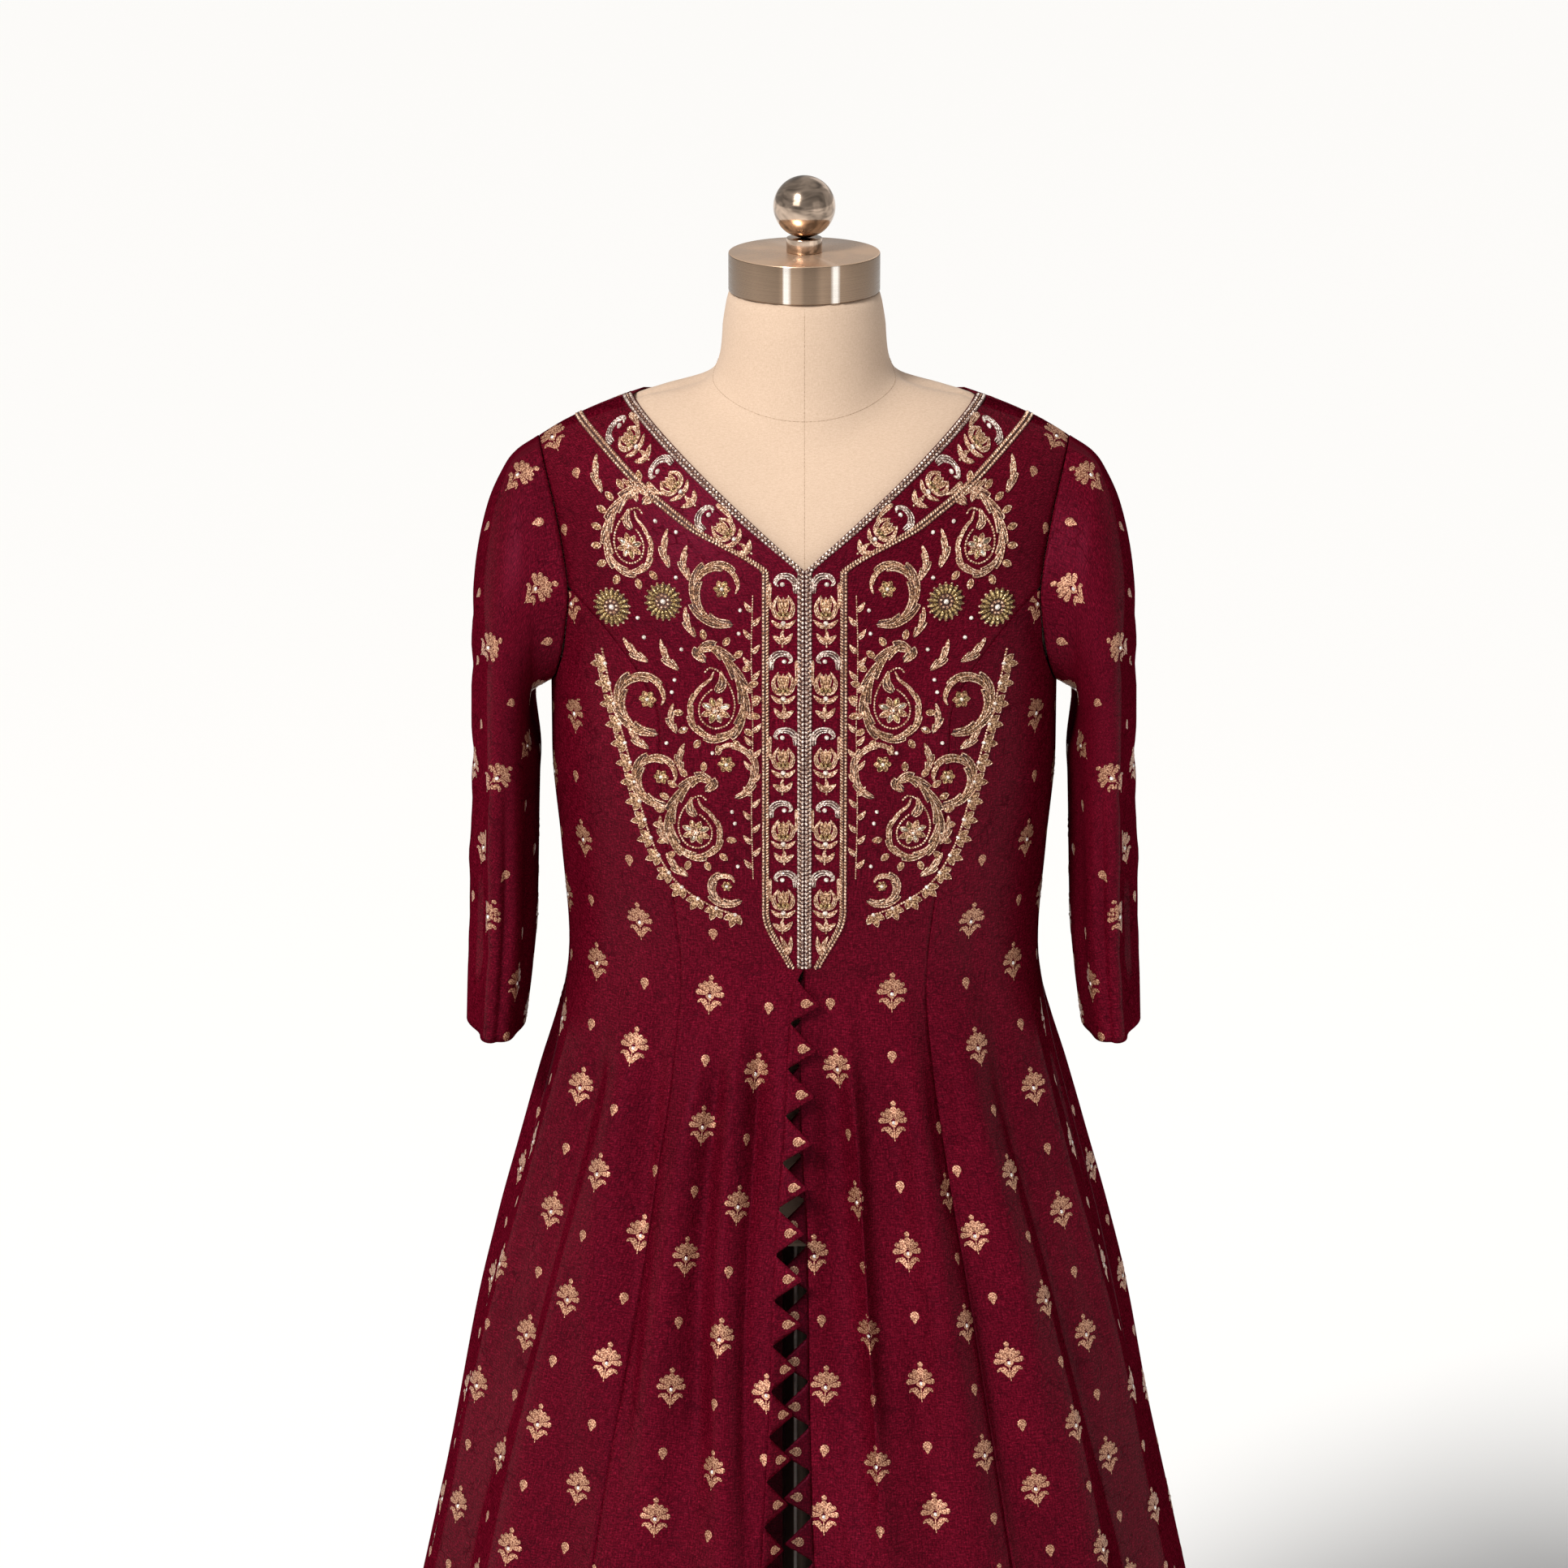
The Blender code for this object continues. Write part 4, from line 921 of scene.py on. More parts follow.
def silk_material(name="silk_brocade", shade=1.0):
    """Maroon silk with a tone-on-tone crackle and vine figure, fine slubs and a low sheen; a shade below one
    darkens all its tones as painted shade.
    """
    dark, colour, light = (shaded(tone, shade) for tone in (SILK_DARK, SILK_COLOUR, SILK_LIGHT))
    made, tree, shader = shader_of(name, colour, 0.46)
    links = tree.links
    plain = stretched(tree)
    wander = noise(tree, plain, "Color", Scale=85.0, Detail=3.0, Roughness=0.6)
    moved = node(tree, "ShaderNodeVectorMath", operation="MULTIPLY_ADD")
    links.new(wander, moved.inputs[0])
    moved.inputs[1].default_value = grey(0.011)
    links.new(plain, moved.inputs[2])
    crackle = node(tree, "ShaderNodeTexVoronoi", feature="DISTANCE_TO_EDGE", Scale=105.0)
    links.new(moved.outputs[0], crackle.inputs["Vector"])
    lines = greys(tree, crackle.outputs["Distance"], (0.0, 1.0), (0.030, 0.7), (0.070, 0.0))
    patches = noise(tree, plain, Scale=42.0, Detail=2.0)
    figure = math_of(tree, "MULTIPLY", lines, greys(tree, patches, (0.46, 0.0), (0.64, 1.0)))
    slubs = noise(tree, stretched(tree, (170.0, 1300.0, 1.0)), Scale=1.0, Detail=2.0)
    warps = noise(tree, stretched(tree, (1500.0, 120.0, 1.0)), Scale=1.0, Detail=2.0)
    threads = crossed(tree, slubs, warps)
    tone = ramp(tree, threads, ((0.36, dark), (0.50, colour), (0.66, light)))
    grain = noise(tree, plain, Scale=640.0, Detail=2.0, Roughness=0.7)
    speck = greys(tree, grain, (0.34, 0.55), (0.50, 0.96), (0.68, 1.75))
    tone = clouded(tree, mixed(tree, 1.0, tone, speck, "MULTIPLY"), plain, 7.0, 2.0, 0.86, 1.12)
    tone = mixed(tree, math_of(tree, "MULTIPLY", figure, 0.75), tone, shaded(colour, 0.42))
    links.new(tone, shader.inputs["Base Color"])
    rough = greys(tree, figure, (0.0, 0.44), (1.0, 0.66))
    links.new(rough, shader.inputs["Roughness"])
    facing = node(tree, "ShaderNodeLayerWeight", Blend=0.5)
    gleam = greys(tree, facing.outputs["Facing"], (0.0, 0.15), (0.30, 0.09), (0.58, 0.0))
    links.new(gleam, shader.inputs["Specular IOR Level"])
    shader.inputs["Specular Tint"].default_value = (1.0, 0.14, 0.34, 1.0)
    height = math_of(tree, "SUBTRACT", threads, math_of(tree, "MULTIPLY", figure, 0.9))
    bumped(tree, shader, height, 0.55, 0.00045)
    return made


# Weft tones scattered at random: copper as painted shade, gold, and a light tone as painted glints.
WOVEN_TONES = ((0.13, 0.032, 0.018), (0.43, 0.180, 0.095), (0.82, 0.465, 0.295))


def woven_gold_material(name="woven_gold", shade=1.0):
    """Gold weft of the woven motifs: fine thread lines, with specks of painted copper shade and painted
    glints scattered at random; a shade below one darkens all its tones as painted shade.
    """
    made, tree, shader = shader_of(name, (0.45, 0.26, 0.13), 0.42, 0.45)
    threads = wires(tree, "Y", 420.0, 0.6)
    speck = noise(tree, stretched(tree), Scale=900.0, Detail=2.0)
    copper, gold, painted_glint = (shaded(tone, shade) for tone in WOVEN_TONES)
    tone = ramp(tree, speck, ((0.40, copper), (0.50, gold), (0.60, painted_glint)))
    tone = mixed(tree, 0.25, tone, threads.outputs["Color"], "MULTIPLY")
    tone = clouded(tree, tone, stretched(tree), 14.0, 1.0, 0.80, 1.15)
    tree.links.new(tone, shader.inputs["Base Color"])
    bumped(tree, shader, threads.outputs["Fac"], 0.5, 0.0002)
    return made


def thread_material(name, low, middle, high, roughness, metallic, grain=700.0):
    """Metal thread, beads or stitches in three tones at random: partly the thread's own unevenness, partly
    painted glints in the light tone and painted shade in the dark one.
    """
    made, tree, shader = shader_of(name, middle, roughness, metallic)
    painted_glints = noise(tree, stretched(tree, source="Object"), Scale=grain, Detail=2.0, Roughness=0.6)
    tone = ramp(tree, painted_glints, ((0.41, low), (0.50, middle), (0.59, high)))
    tree.links.new(tone, shader.inputs["Base Color"])
    bumped(tree, shader, wires(tree, "DIAGONAL", 330.0, 0.4).outputs["Fac"], 0.6, 0.0003)
    return made


LINEN_TONES = ((0.535, 0.383, 0.274), (0.594, 0.433, 0.316), (0.646, 0.481, 0.360))


def linen_material():
    """Beige linen in a fine plain weave."""
    made, tree, shader = shader_of("linen", (0.640, 0.475, 0.330), 0.92)
    weft = noise(tree, stretched(tree, (420.0, 420.0, 2300.0), "Object"), Scale=1.0, Detail=2.0)
    warp = noise(tree, stretched(tree, (2300.0, 2300.0, 420.0), "Object"), Scale=1.0, Detail=2.0)
    threads = crossed(tree, weft, warp)
    tone = ramp(tree, threads, tuple(zip((0.36, 0.50, 0.66), LINEN_TONES)))
    tone = clouded(tree, tone, stretched(tree, source="Object"), 9.0, 3.0, 0.965, 1.03)
    tree.links.new(tone, shader.inputs["Base Color"])
    shader.inputs["Sheen Weight"].default_value = 0.08
    bumped(tree, shader, threads, 0.30, 0.0002)
    return made


CAP_RADIUS, CAP_BOTTOM, CAP_TOP, CAP_EDGE = 0.0550, 1.4720, 1.5000, 0.0012
# Tones of the brushed steel at angles round the neck's axis: a tone of one is a painted highlight, lower
# tones are painted shade.
STEEL_PAINTED_BANDS = table(
    "angle tone",
    (-180.0, 0.35),
    (-152.0, 1.00),
    (-140.0, 0.29),
    (-112.0, 0.42),
    (-84.0, 0.20),
    (-60.0, 0.29),
    (-40.0, 0.35),
    (-20.0, 0.29),
    (-16.5, 0.43),
    (-15.5, 1.00),
    (-12.0, 1.00),
    (-10.5, 0.52),
    (-3.0, 0.42),
    (0.0, 0.28),
    (8.0, 0.27),
    (13.0, 0.41),
    (20.5, 0.35),
    (22.0, 1.00),
    (25.5, 1.00),
    (27.5, 0.39),
    (42.0, 0.32),
    (62.0, 0.27),
    (84.0, 0.20),
    (112.0, 0.42),
    (132.0, 0.25),
    (154.0, 1.00),
    (180.0, 0.35),
)
# The cap's top is painted lighter than its side: painted light.
CAP_TOP_PAINTED_SHARE, CAP_TOP_PAINTED_LIGHT, CAP_TOP_FROM = 0.86, 1.18, 0.4
# The colour of the painted highlight bands.
STEEL_PAINTED_HIGHLIGHT = (1.0, 0.93, 0.86)


def painted_light_and_shade_bands(tree, colour):
    """Painted highlights and painted shade: light and dark fans round the neck's axis, fixed to the steel,
    and a top painted lighter than the side.
    """
    places = stretched(tree, source="Object", rotation=(0.0, 0.0, math.pi / 2), moved=(NECK_Y, 0.0, 0.0))
    turn = node(tree, "ShaderNodeTexGradient", gradient_type="RADIAL")
    tree.links.new(places, turn.inputs["Vector"])
    stops = []
    for row in STEEL_PAINTED_BANDS:
        tone = shaded(colour, row["tone"]) if row["tone"] < 1.0 else STEEL_PAINTED_HIGHLIGHT
        stops.append((0.5 + row["angle"] / 360.0, tone))
    fans = ramp(tree, turn.outputs["Fac"], stops)
    heights = node(tree, "ShaderNodeSeparateXYZ")
    tree.links.new(stretched(tree, source="Object"), heights.inputs[0])
    on_top = math_of(tree, "GREATER_THAN", heights.outputs["Z"], CAP_TOP - CAP_EDGE * CAP_TOP_FROM)
    return mixed(tree, math_of(tree, "MULTIPLY", on_top, CAP_TOP_PAINTED_SHARE), fans, shaded(colour, CAP_TOP_PAINTED_LIGHT))


def steel_material(name, colour, roughness, brushed):
    """Steel: brushed, with painted highlight and shade fans round the axis, or polished, with a painted
    reflection of a room as mottled light and dark tones.
    """
    made, tree, shader = shader_of(name, colour, roughness, 0.75 if brushed else 1.0)
    links = tree.links
    scale = (25.0, 25.0, 2600.0) if brushed else grey(60.0)
    streaks = noise(tree, stretched(tree, scale, "Object"), Scale=1.0, Detail=3.0)
    spread = 0.07 if brushed else 0.015
    rough = greys(tree, streaks, (0.35, roughness - spread), (0.65, roughness + spread))
    links.new(rough, shader.inputs["Roughness"])
    if brushed:
        tone = greys(tree, streaks, (0.35, 0.90), (0.65, 1.06))
        # The brushing streaks over the painted highlight and shade fans.
        tone = mixed(tree, 1.0, painted_light_and_shade_bands(tree, colour), tone, "MULTIPLY")
        shader.inputs["Anisotropic"].default_value = 0.5
        tangent = node(tree, "ShaderNodeTangent", direction_type="RADIAL", axis="Z")
        links.new(tangent.outputs[0], shader.inputs["Tangent"])
    else:
        # Mottled light and dark tones stand for a room seen in the polished steel: painted reflection.
        room = noise(tree, stretched(tree, (1.0, 1.0, 1.6), "Object"), Scale=44.0, Detail=2.0, Distortion=1.4)
        painted_reflection_light = tuple(min(1.0, c) for c in shaded(colour, 1.35))
        tone = ramp(tree, room, ((0.36, shaded(colour, 0.40)), (0.52, colour), (0.66, painted_reflection_light)))
    links.new(tone, shader.inputs["Base Color"])
    return made


# The dress form and its stand

NECK_PROFILE = (
    (0.0550, 1.4717), (0.0560, 1.4680), (0.0590, 1.4500), (0.0615, 1.4260),
    (0.0640, 1.4000), (0.0700, 1.3700), (0.0600, 1.3200),
)
NECK_Y = 0.020
FORM_VOXEL = 0.0045
BLEND_FULL, BLEND_END, BLEND_TURNS, BLEND_ALL_TURNS = 0.018, 0.045, 40, 4
BLEND_RADIUS, BLEND_Z, BLEND_LEAST, BLEND_TOP = 0.068, 1.402, 0.25, 1.46
FORM_LOW, FORM_UNDER_TOP, FORM_SUNK = 0.775, 0.0002, 0.0026
BODY_ROWS, CHEST_ROWS, CHEST_CROWDING, BODY_STEPS, NECK_STEPS = 40, 46, 2.2, 128, 96


def form_grid():
    """Rows of the dress form's torso, closer together towards the shoulders."""
    climb = 1 - np.linspace(1, 0, CHEST_ROWS)[1:] ** CHEST_CROWDING
    above = ARMPIT_Z + (RIDGE_LEVEL - FORM_UNDER_TOP - ARMPIT_Z) * climb
    levels = np.concatenate([np.linspace(FORM_LOW, ARMPIT_Z, BODY_ROWS), above])
    angles = np.linspace(-90, 270, BODY_STEPS + 1)[:-1]
    grid = [
        surface(angles, np.full(len(angles), level), section=FORM, folds=False, sunk=FORM_SUNK)
        for level in levels
    ]
    return np.array(grid)


def closed_tube(grid):
    """Points and faces of a tube's grid with flat ends."""
    rows, columns = grid.shape[:2]
    faces = sheet_faces({"points": grid, "wrapped": True})
    faces.append(tuple(reversed(range(columns))))
    faces.append(tuple((rows - 1) * columns + i for i in range(columns)))
    return grid.reshape(-1, 3), faces


def form_skin(linen):
    """The linen body: torso and neck joined, with the neck blended into the shoulders."""
    body_points, body_faces = closed_tube(form_grid())
    angles = np.linspace(0, 2 * np.pi, NECK_STEPS, endpoint=False)
    ring = np.stack([np.cos(angles), np.sin(angles)], axis=1)
    neck = []
    for radius, z in reversed(NECK_PROFILE):
        points = np.zeros((len(angles), 3))
        points[:, :2] = ring * radius
        points[:, 1] += NECK_Y
        points[:, 2] = z
        neck.append(points)
    neck_points, neck_faces = closed_tube(np.array(neck))
    offset = len(body_points)
    faces = body_faces + [tuple(i + offset for i in face) for face in neck_faces]
    rough = mesh_piece("form_rough", np.concatenate([body_points, neck_points]), faces, [linen])
    remesh = rough.modifiers.new("Join", "REMESH")
    remesh.mode = "VOXEL"
    remesh.voxel_size = FORM_VOXEL
    graph = bpy.context.evaluated_depsgraph_get()
    joined = rough.evaluated_get(graph).to_mesh()
    count = len(joined.vertices)
    points = np.empty(count * 3)
    joined.vertices.foreach_get("co", points)
    points = points.reshape(-1, 3)
    faces = [tuple(face.vertices) for face in joined.polygons]
    edges = np.empty(len(joined.edges) * 2, dtype=np.int64)
    joined.edges.foreach_get("vertices", edges)
    edges = edges.reshape(-1, 2)
    bpy.data.objects.remove(rough, do_unlink=True)
    away = np.hypot(np.hypot(points[:, 0], points[:, 1] - NECK_Y) - BLEND_RADIUS, points[:, 2] - BLEND_Z)
    weight = np.clip((BLEND_END - away) / (BLEND_END - BLEND_FULL), 0, 1)
    weight = np.maximum(weight, BLEND_LEAST * (points[:, 2] < BLEND_TOP))
    degree = np.bincount(edges.ravel(), minlength=count)[:, None]
    for turn in range(BLEND_TURNS):
        total = np.zeros_like(points)
        np.add.at(total, edges[:, 0], points[edges[:, 1]])
        np.add.at(total, edges[:, 1], points[edges[:, 0]])
        near_only = np.where(away < BLEND_END, weight, 0.0)
        strength = near_only if turn >= BLEND_ALL_TURNS else np.maximum(weight, BLEND_LEAST)
        points = points + (total / degree - points) * 0.5 * strength[:, None]
    skin = mesh_piece("form_linen", points, faces, [linen])
    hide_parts("form_body")
    return skin


NECK_SEAM_FRONT_Z, NECK_SEAM_TILT, SEAM_PROBE = 1.389, 0.026, 0.002
CENTRE_SEAMS = table("turn low high", (0.0, 1.290, 1.4708), (180.0, 1.402, 1.4708))
STITCH_PITCH, STITCH_SIZE, STITCH_HEIGHT = 0.0030, (0.0021, 0.0005), 0.00030
GROOVE_SIZE, GROOVE_HEIGHT = (STITCH_PITCH * 0.8, 0.0003), 0.00012


def form_seams(skin):
    """The stitched seams round the neck's base and down its front and back."""
    tree = BVHTree.FromObject(skin, bpy.context.evaluated_depsgraph_get())
    round_neck = []
    for turn in range(361):
        behind = 1 - math.cos(math.radians(turn))
        round_neck.append((turn, NECK_SEAM_FRONT_Z + NECK_SEAM_TILT * behind))
    paths = [round_neck]
    for row in CENTRE_SEAMS:
        paths.append([(row["turn"], z) for z in np.arange(row["low"], row["high"], SEAM_PROBE)])
    work = pile()
    for path in paths:
        line, ups = [], []
        for turn, z in path:
            out = Vector((math.sin(math.radians(turn)), -math.cos(math.radians(turn)), 0.0))
            place, normal, _, _ = tree.ray_cast(Vector((0.0, NECK_Y, z)), out)
            if place is not None:
                line.append(place)
                ups.append(normal if normal.dot(out) > 0 else -normal)
        line, ups = np.array(line), np.array(ups)
        strung(work, line, ups, STITCH_PITCH, STITCH_SIZE, STITCH_HEIGHT, 0)
        strung(work, line, ups, STITCH_PITCH / 2, GROOVE_SIZE, GROOVE_HEIGHT, 0)
    ornament("form_seam_stitches", work, as_made, [SEAM_THREAD])


COLLAR_RADIUS, COLLAR_HEIGHT, COLLAR_EDGE = 0.0130, 0.0105, 0.0007
BALL_RADIUS, BALL_ROWS = 0.0225, 49
POLE_RADIUS, POLE_TOP, POLE_FOOT = 0.016, 0.7747, 0.0223
FERRULE_TOP, FERRULE_LIP, FERRULE_WIDER = 0.060, 0.002, 1.02
BASE_RADIUS, BASE_EDGE, BASE_HEIGHT, BASE_CORNER = 0.200, 0.008, 0.022, 0.0015
BASE_COLLAR, BASE_SHOULDER, BASE_FALL, BASE_BEVEL, BASE_LIP = 2.2, 0.55, 0.005, 0.004, 0.003
CORNER_STEPS = 4


def rounded(points, radius):
    """A profile with each inner corner cut by a small arc."""
    made = [points[0]]
    for before, corner, after in zip(points, points[1:], points[2:]):
        corner_point = np.array(corner)
        back, ahead = np.array(before) - corner_point, np.array(after) - corner_point
        cut = min(radius, np.linalg.norm(back) / 2, np.linalg.norm(ahead) / 2)
        start, end = corner_point + unit(back) * cut, corner_point + unit(ahead) * cut
        for t in np.linspace(0, 1, CORNER_STEPS):
            made.append(tuple(start * (1 - t) ** 2 + corner_point * 2 * t * (1 - t) + end * t * t))
    made.append(points[-1])
    return made


def fittings(brushed, polished, dark):
    """The turned steel pieces: cap, collar, ball, base and pole."""
    cap = [(0.0, CAP_TOP), (CAP_RADIUS, CAP_TOP), (CAP_RADIUS, CAP_BOTTOM), (0.0, CAP_BOTTOM)]
    foot = CAP_TOP + SEAM
    head = foot + COLLAR_HEIGHT
    collar = [(0.0, head), (COLLAR_RADIUS, head), (COLLAR_RADIUS, foot), (0.0, foot)]
    centre = head + SEAM + BALL_RADIUS
    arc = np.linspace(np.pi / 2, -np.pi / 2, BALL_ROWS)
    ball = [(BALL_RADIUS * math.cos(a), centre + BALL_RADIUS * math.sin(a)) for a in arc]
    ball[0], ball[-1] = (0.0, ball[0][1]), (0.0, ball[-1][1])
    base = [
        (0.0, BASE_HEIGHT),
        (POLE_RADIUS * BASE_COLLAR, BASE_HEIGHT),
        (BASE_RADIUS * BASE_SHOULDER, BASE_HEIGHT - BASE_FALL),
        (BASE_RADIUS - BASE_BEVEL, BASE_EDGE),
        (BASE_RADIUS, BASE_EDGE - BASE_LIP),
        (BASE_RADIUS, 0.0),
        (0.0, 0.0),
    ]
    ferrule = POLE_RADIUS * FERRULE_WIDER
    pole = [
        (0.0, POLE_TOP),
        (POLE_RADIUS, POLE_TOP),
        (POLE_RADIUS, FERRULE_TOP),
        (ferrule, FERRULE_TOP - FERRULE_LIP),
        (ferrule, POLE_FOOT),
        (0.0, POLE_FOOT),
    ]
    for row in table(
        "name profile steps look slot replaced y",
        ("neck_cap_steel", rounded(cap, CAP_EDGE), 144, brushed, "brushed_steel", "neck_cap", NECK_Y),
        ("cap_collar_steel", rounded(collar, COLLAR_EDGE), 72,
         polished, "polished_steel", "cap_collar", NECK_Y),
        ("cap_ball_steel", ball, 96, polished, "polished_steel", "cap_ball", NECK_Y),
        ("stand_base_steel", rounded(base, BASE_CORNER), 160,
         brushed, "brushed_steel", "stand_base", MIDDLE_Y),
        ("stand_pole_steel", pole, 64, dark, "brushed_steel", "stand_pole", MIDDLE_Y),
    ):
        turned(**row)


# Camera, light and floor

LENS, SENSOR_WIDTH, FARTHEST_SEEN = 132.762, 36.0, 200.0
CAMERA_PLACE, CAMERA_DOWN = (-0.014675, -4.095684, 2.337345), 16.7605
ROOM_COLOUR, ROOM_STRENGTH = (1.0, 0.99, 0.98, 1.0), 0.385
LIGHTS = table(
    "name kind energy place aim size colour",
    ("sun", "SUN", 2.85, (-2.3, -3.35, 4.9), (0, 0, 1.0), math.radians(14), (1.0, 0.985, 0.96)),
    ("key", "AREA", 22.0, (-1.6, -2.6, 2.9), (0, 0, 1.15), (1.4, 1.4), (1.0, 0.96, 0.91)),
    ("fill", "AREA", 3.5, (2.4, -2.2, 1.9), (0, 0, 1.0), (1.6, 2.0), (1.0, 0.97, 0.94)),
    ("rim", "AREA", 2.5, (1.2, 2.4, 2.6), (0, 0, 1.2), (1.6, 1.2), (1.0, 0.98, 0.96)),
)
FLOOR_REACH = 60.0
FLOOR_TONES = ((0.3, (0.970, 0.970, 0.967)), (0.7, (0.980, 0.980, 0.977)))


def linked(name, data):
    made = bpy.data.objects.new(name, data)
    bpy.context.scene.collection.objects.link(made)
    return made


def light(name, kind, energy, place, aim, size, colour):
    """A sun with its angle or a soft lamp with its size, aimed at a point."""
    data = bpy.data.lights.new(name, kind)
    data.energy = energy
    data.color = colour
    if kind == "AREA":
        data.shape = "RECTANGLE"
        data.size, data.size_y = size
    else:
        data.angle = size
    made = linked(name, data)
    made.location = place
    made.rotation_euler = (Vector(aim) - Vector(place)).to_track_quat("-Z", "Y").to_euler()


def floor():
    made, tree, shader = shader_of("pale_floor", (0.975, 0.975, 0.972), 0.9)
    uneven = node(tree, "ShaderNodeTexNoise", Scale=0.7, Detail=2.0)
    tree.links.new(ramp(tree, uneven.outputs["Fac"], FLOOR_TONES), shader.inputs["Base Color"])
    shader.inputs["Specular IOR Level"].default_value = 0.1
    mesh = bpy.data.meshes.new("floor")
    corners = [(x * FLOOR_REACH, y * FLOOR_REACH, 0) for x, y in ((-1, -1), (1, -1), (1, 1), (-1, 1))]
    mesh.from_pydata(corners, [], [(0, 1, 2, 3)])
    mesh.materials.append(made)
    linked("floor", mesh)


def studio():
    scene = bpy.context.scene
    scene.view_settings.view_transform = "Standard"
    scene.view_settings.look = "None"
    data = bpy.data.cameras.new("camera")
    data.lens, data.sensor_width, data.clip_end = LENS, SENSOR_WIDTH, FARTHEST_SEEN
    camera = linked("camera", data)
    camera.location = CAMERA_PLACE
    camera.rotation_euler = (math.radians(90 - CAMERA_DOWN), 0, 0)
    scene.camera = camera
    world = bpy.data.worlds.new("room")
    world.use_nodes = True
    background = world.node_tree.nodes["Background"]
    background.inputs["Color"].default_value = ROOM_COLOUR
    background.inputs["Strength"].default_value = ROOM_STRENGTH
    scene.world = world
    for row in LIGHTS:
        light(**row)
    floor()


# Ornament: laid out flat in metres with a height, then carried onto the cloth

# The bed's look is dark as partly painted shade between the strands and beads laid on it.
GOLD, STRAND, BED_AND_PAINTED_SHADE, SILVER, PEARL, BUGLE, MIRROR = range(7)
ROUND_ACROSS = np.array((-0.5, -0.3, 0.0, 0.3, 0.5))
ROUND_UP = np.array((0.0, 0.75, 1.0, 0.75, 0.0))


def pile():
    """An empty heap of ornament."""
    return {"points": [], "uv": [], "faces": [], "looks": [], "count": 0}


def heap(work, points, uv, faces, look):
    """Adds points and faces in one look, or in one for each face, to a heap."""
    start = work["count"]
    work["points"].append(points)
    work["uv"].append(uv)
    work["faces"] += [tuple(start + i for i in face) for face in faces]
    work["looks"] += [look] * len(faces) if isinstance(look, int) else list(look)
    work["count"] += len(points)


def merged(work, motif, place=(0.0, 0.0), turn=0.0, flip=False):
    """Adds a flat motif to a heap, mirrored if asked, then turned and moved."""
    points = np.concatenate(motif["points"])
    if flip:
        points = points * (-1.0, 1.0, 1.0)
    cosine, sine = math.cos(turn), math.sin(turn)
    x = points[:, 0] * cosine - points[:, 1] * sine + place[0]
    z = points[:, 0] * sine + points[:, 1] * cosine + place[1]
    faces = [face[::-1] for face in motif["faces"]] if flip else motif["faces"]
    heap(work, np.stack([x, z, points[:, 2]], axis=1), np.concatenate(motif["uv"]), faces, motif["looks"])


FINE_STEP = 0.0008


def drawn(points, step):
    """A smooth path through a few points."""
    points = np.asarray(points, float)
    reach = np.linalg.norm(np.diff(points, axis=0), axis=1).sum()
    return curve_through(points, max(4, round(reach / step) + 1))


def pointing(turn):
    return np.array((math.cos(turn), math.sin(turn)))


def read_along(line, gone, at):
    """The columns of a line at places along it."""
    return np.stack([np.interp(at, gone, column) for column in line.T], axis=-1)


def round_angles(count, start=0.0, shift=0.0):
    return [start + 2 * np.pi * (k + shift) / count for k in range(count)]


def forward(path):
    return unit(np.gradient(path, axis=0))


def leftward(path):
    ahead = forward(path)
    return np.stack([-ahead[:, 1], ahead[:, 0]], axis=1)


def strip_faces(rows, around):
    """Faces of a strip whose rows run on and whose columns run to the left."""
    return [
        (row * around + k, (row + 1) * around + k, (row + 1) * around + k + 1, row * around + k + 1)
        for row in range(rows - 1)
        for k in range(around - 1)
    ]


CORD_START, CORD_TIP = 0.25, 0.15


def cord(work, path, width, height, look, base=0.0):
    """A rounded cord along a path, drawn in at its ends."""
    count = len(path)
    gone = np.arange(count)
    taper = np.clip(np.minimum(gone + CORD_START, count - 1 + CORD_START - gone), CORD_TIP, 1.0)
    spread = ROUND_ACROSS[None, :] * (width * taper)[:, None]
    flat = path[:, None, :] + leftward(path)[:, None, :] * spread[..., None]
    up = base + ROUND_UP[None, :] * (height * taper)[:, None]
    along = run_of(path)
    uv = np.stack([np.repeat(along, 5), spread.ravel()], axis=1)
    points = np.concatenate([flat, up[..., None]], axis=2).reshape(-1, 3)
    heap(work, points, uv, strip_faces(count, 5), look)


def unit_dome(sides, rows):
    """Points and faces of a half ball one across and one high."""
    angles = np.linspace(0, 2 * np.pi, sides, endpoint=False)
    points = [
        (math.cos(a) * math.cos(rise) / 2, math.sin(a) * math.cos(rise) / 2, math.sin(rise))
        for rise in np.linspace(0, np.pi / 2, rows + 1)[:-1]
        for a in angles
    ]
    points.append((0.0, 0.0, 1.0))
    faces = []
    for k in range(sides):
        after = (k + 1) % sides
        for row in range(rows - 1):
            low, high = row * sides, (row + 1) * sides
            faces.append((low + k, low + after, high + after, high + k))
        faces.append(((rows - 1) * sides + k, (rows - 1) * sides + after, rows * sides))
    return np.array(points), faces


BEAD = unit_dome(6, 2)
DROP = unit_dome(10, 3)
DISC = unit_dome(22, 3)


def dome(work, place, size, turn, height, look, base=0.0, form=BEAD):
    """Half a bead: its size is its length and width, its turn is where its length points."""
    points, faces = form
    u, v = points[:, 0] * size[0], points[:, 1] * size[1]
    cosine, sine = math.cos(turn), math.sin(turn)
    x, z = place[0] + u * cosine - v * sine, place[1] + u * sine + v * cosine
    made = np.stack([x, z, base + points[:, 2] * height], axis=1)
    heap(work, made, np.stack([u, v], axis=1), faces, look)


def pearl(work, place, size, height, base=0.0):
    dome(work, place, (size, size), 0.0, height, PEARL, base, DROP)


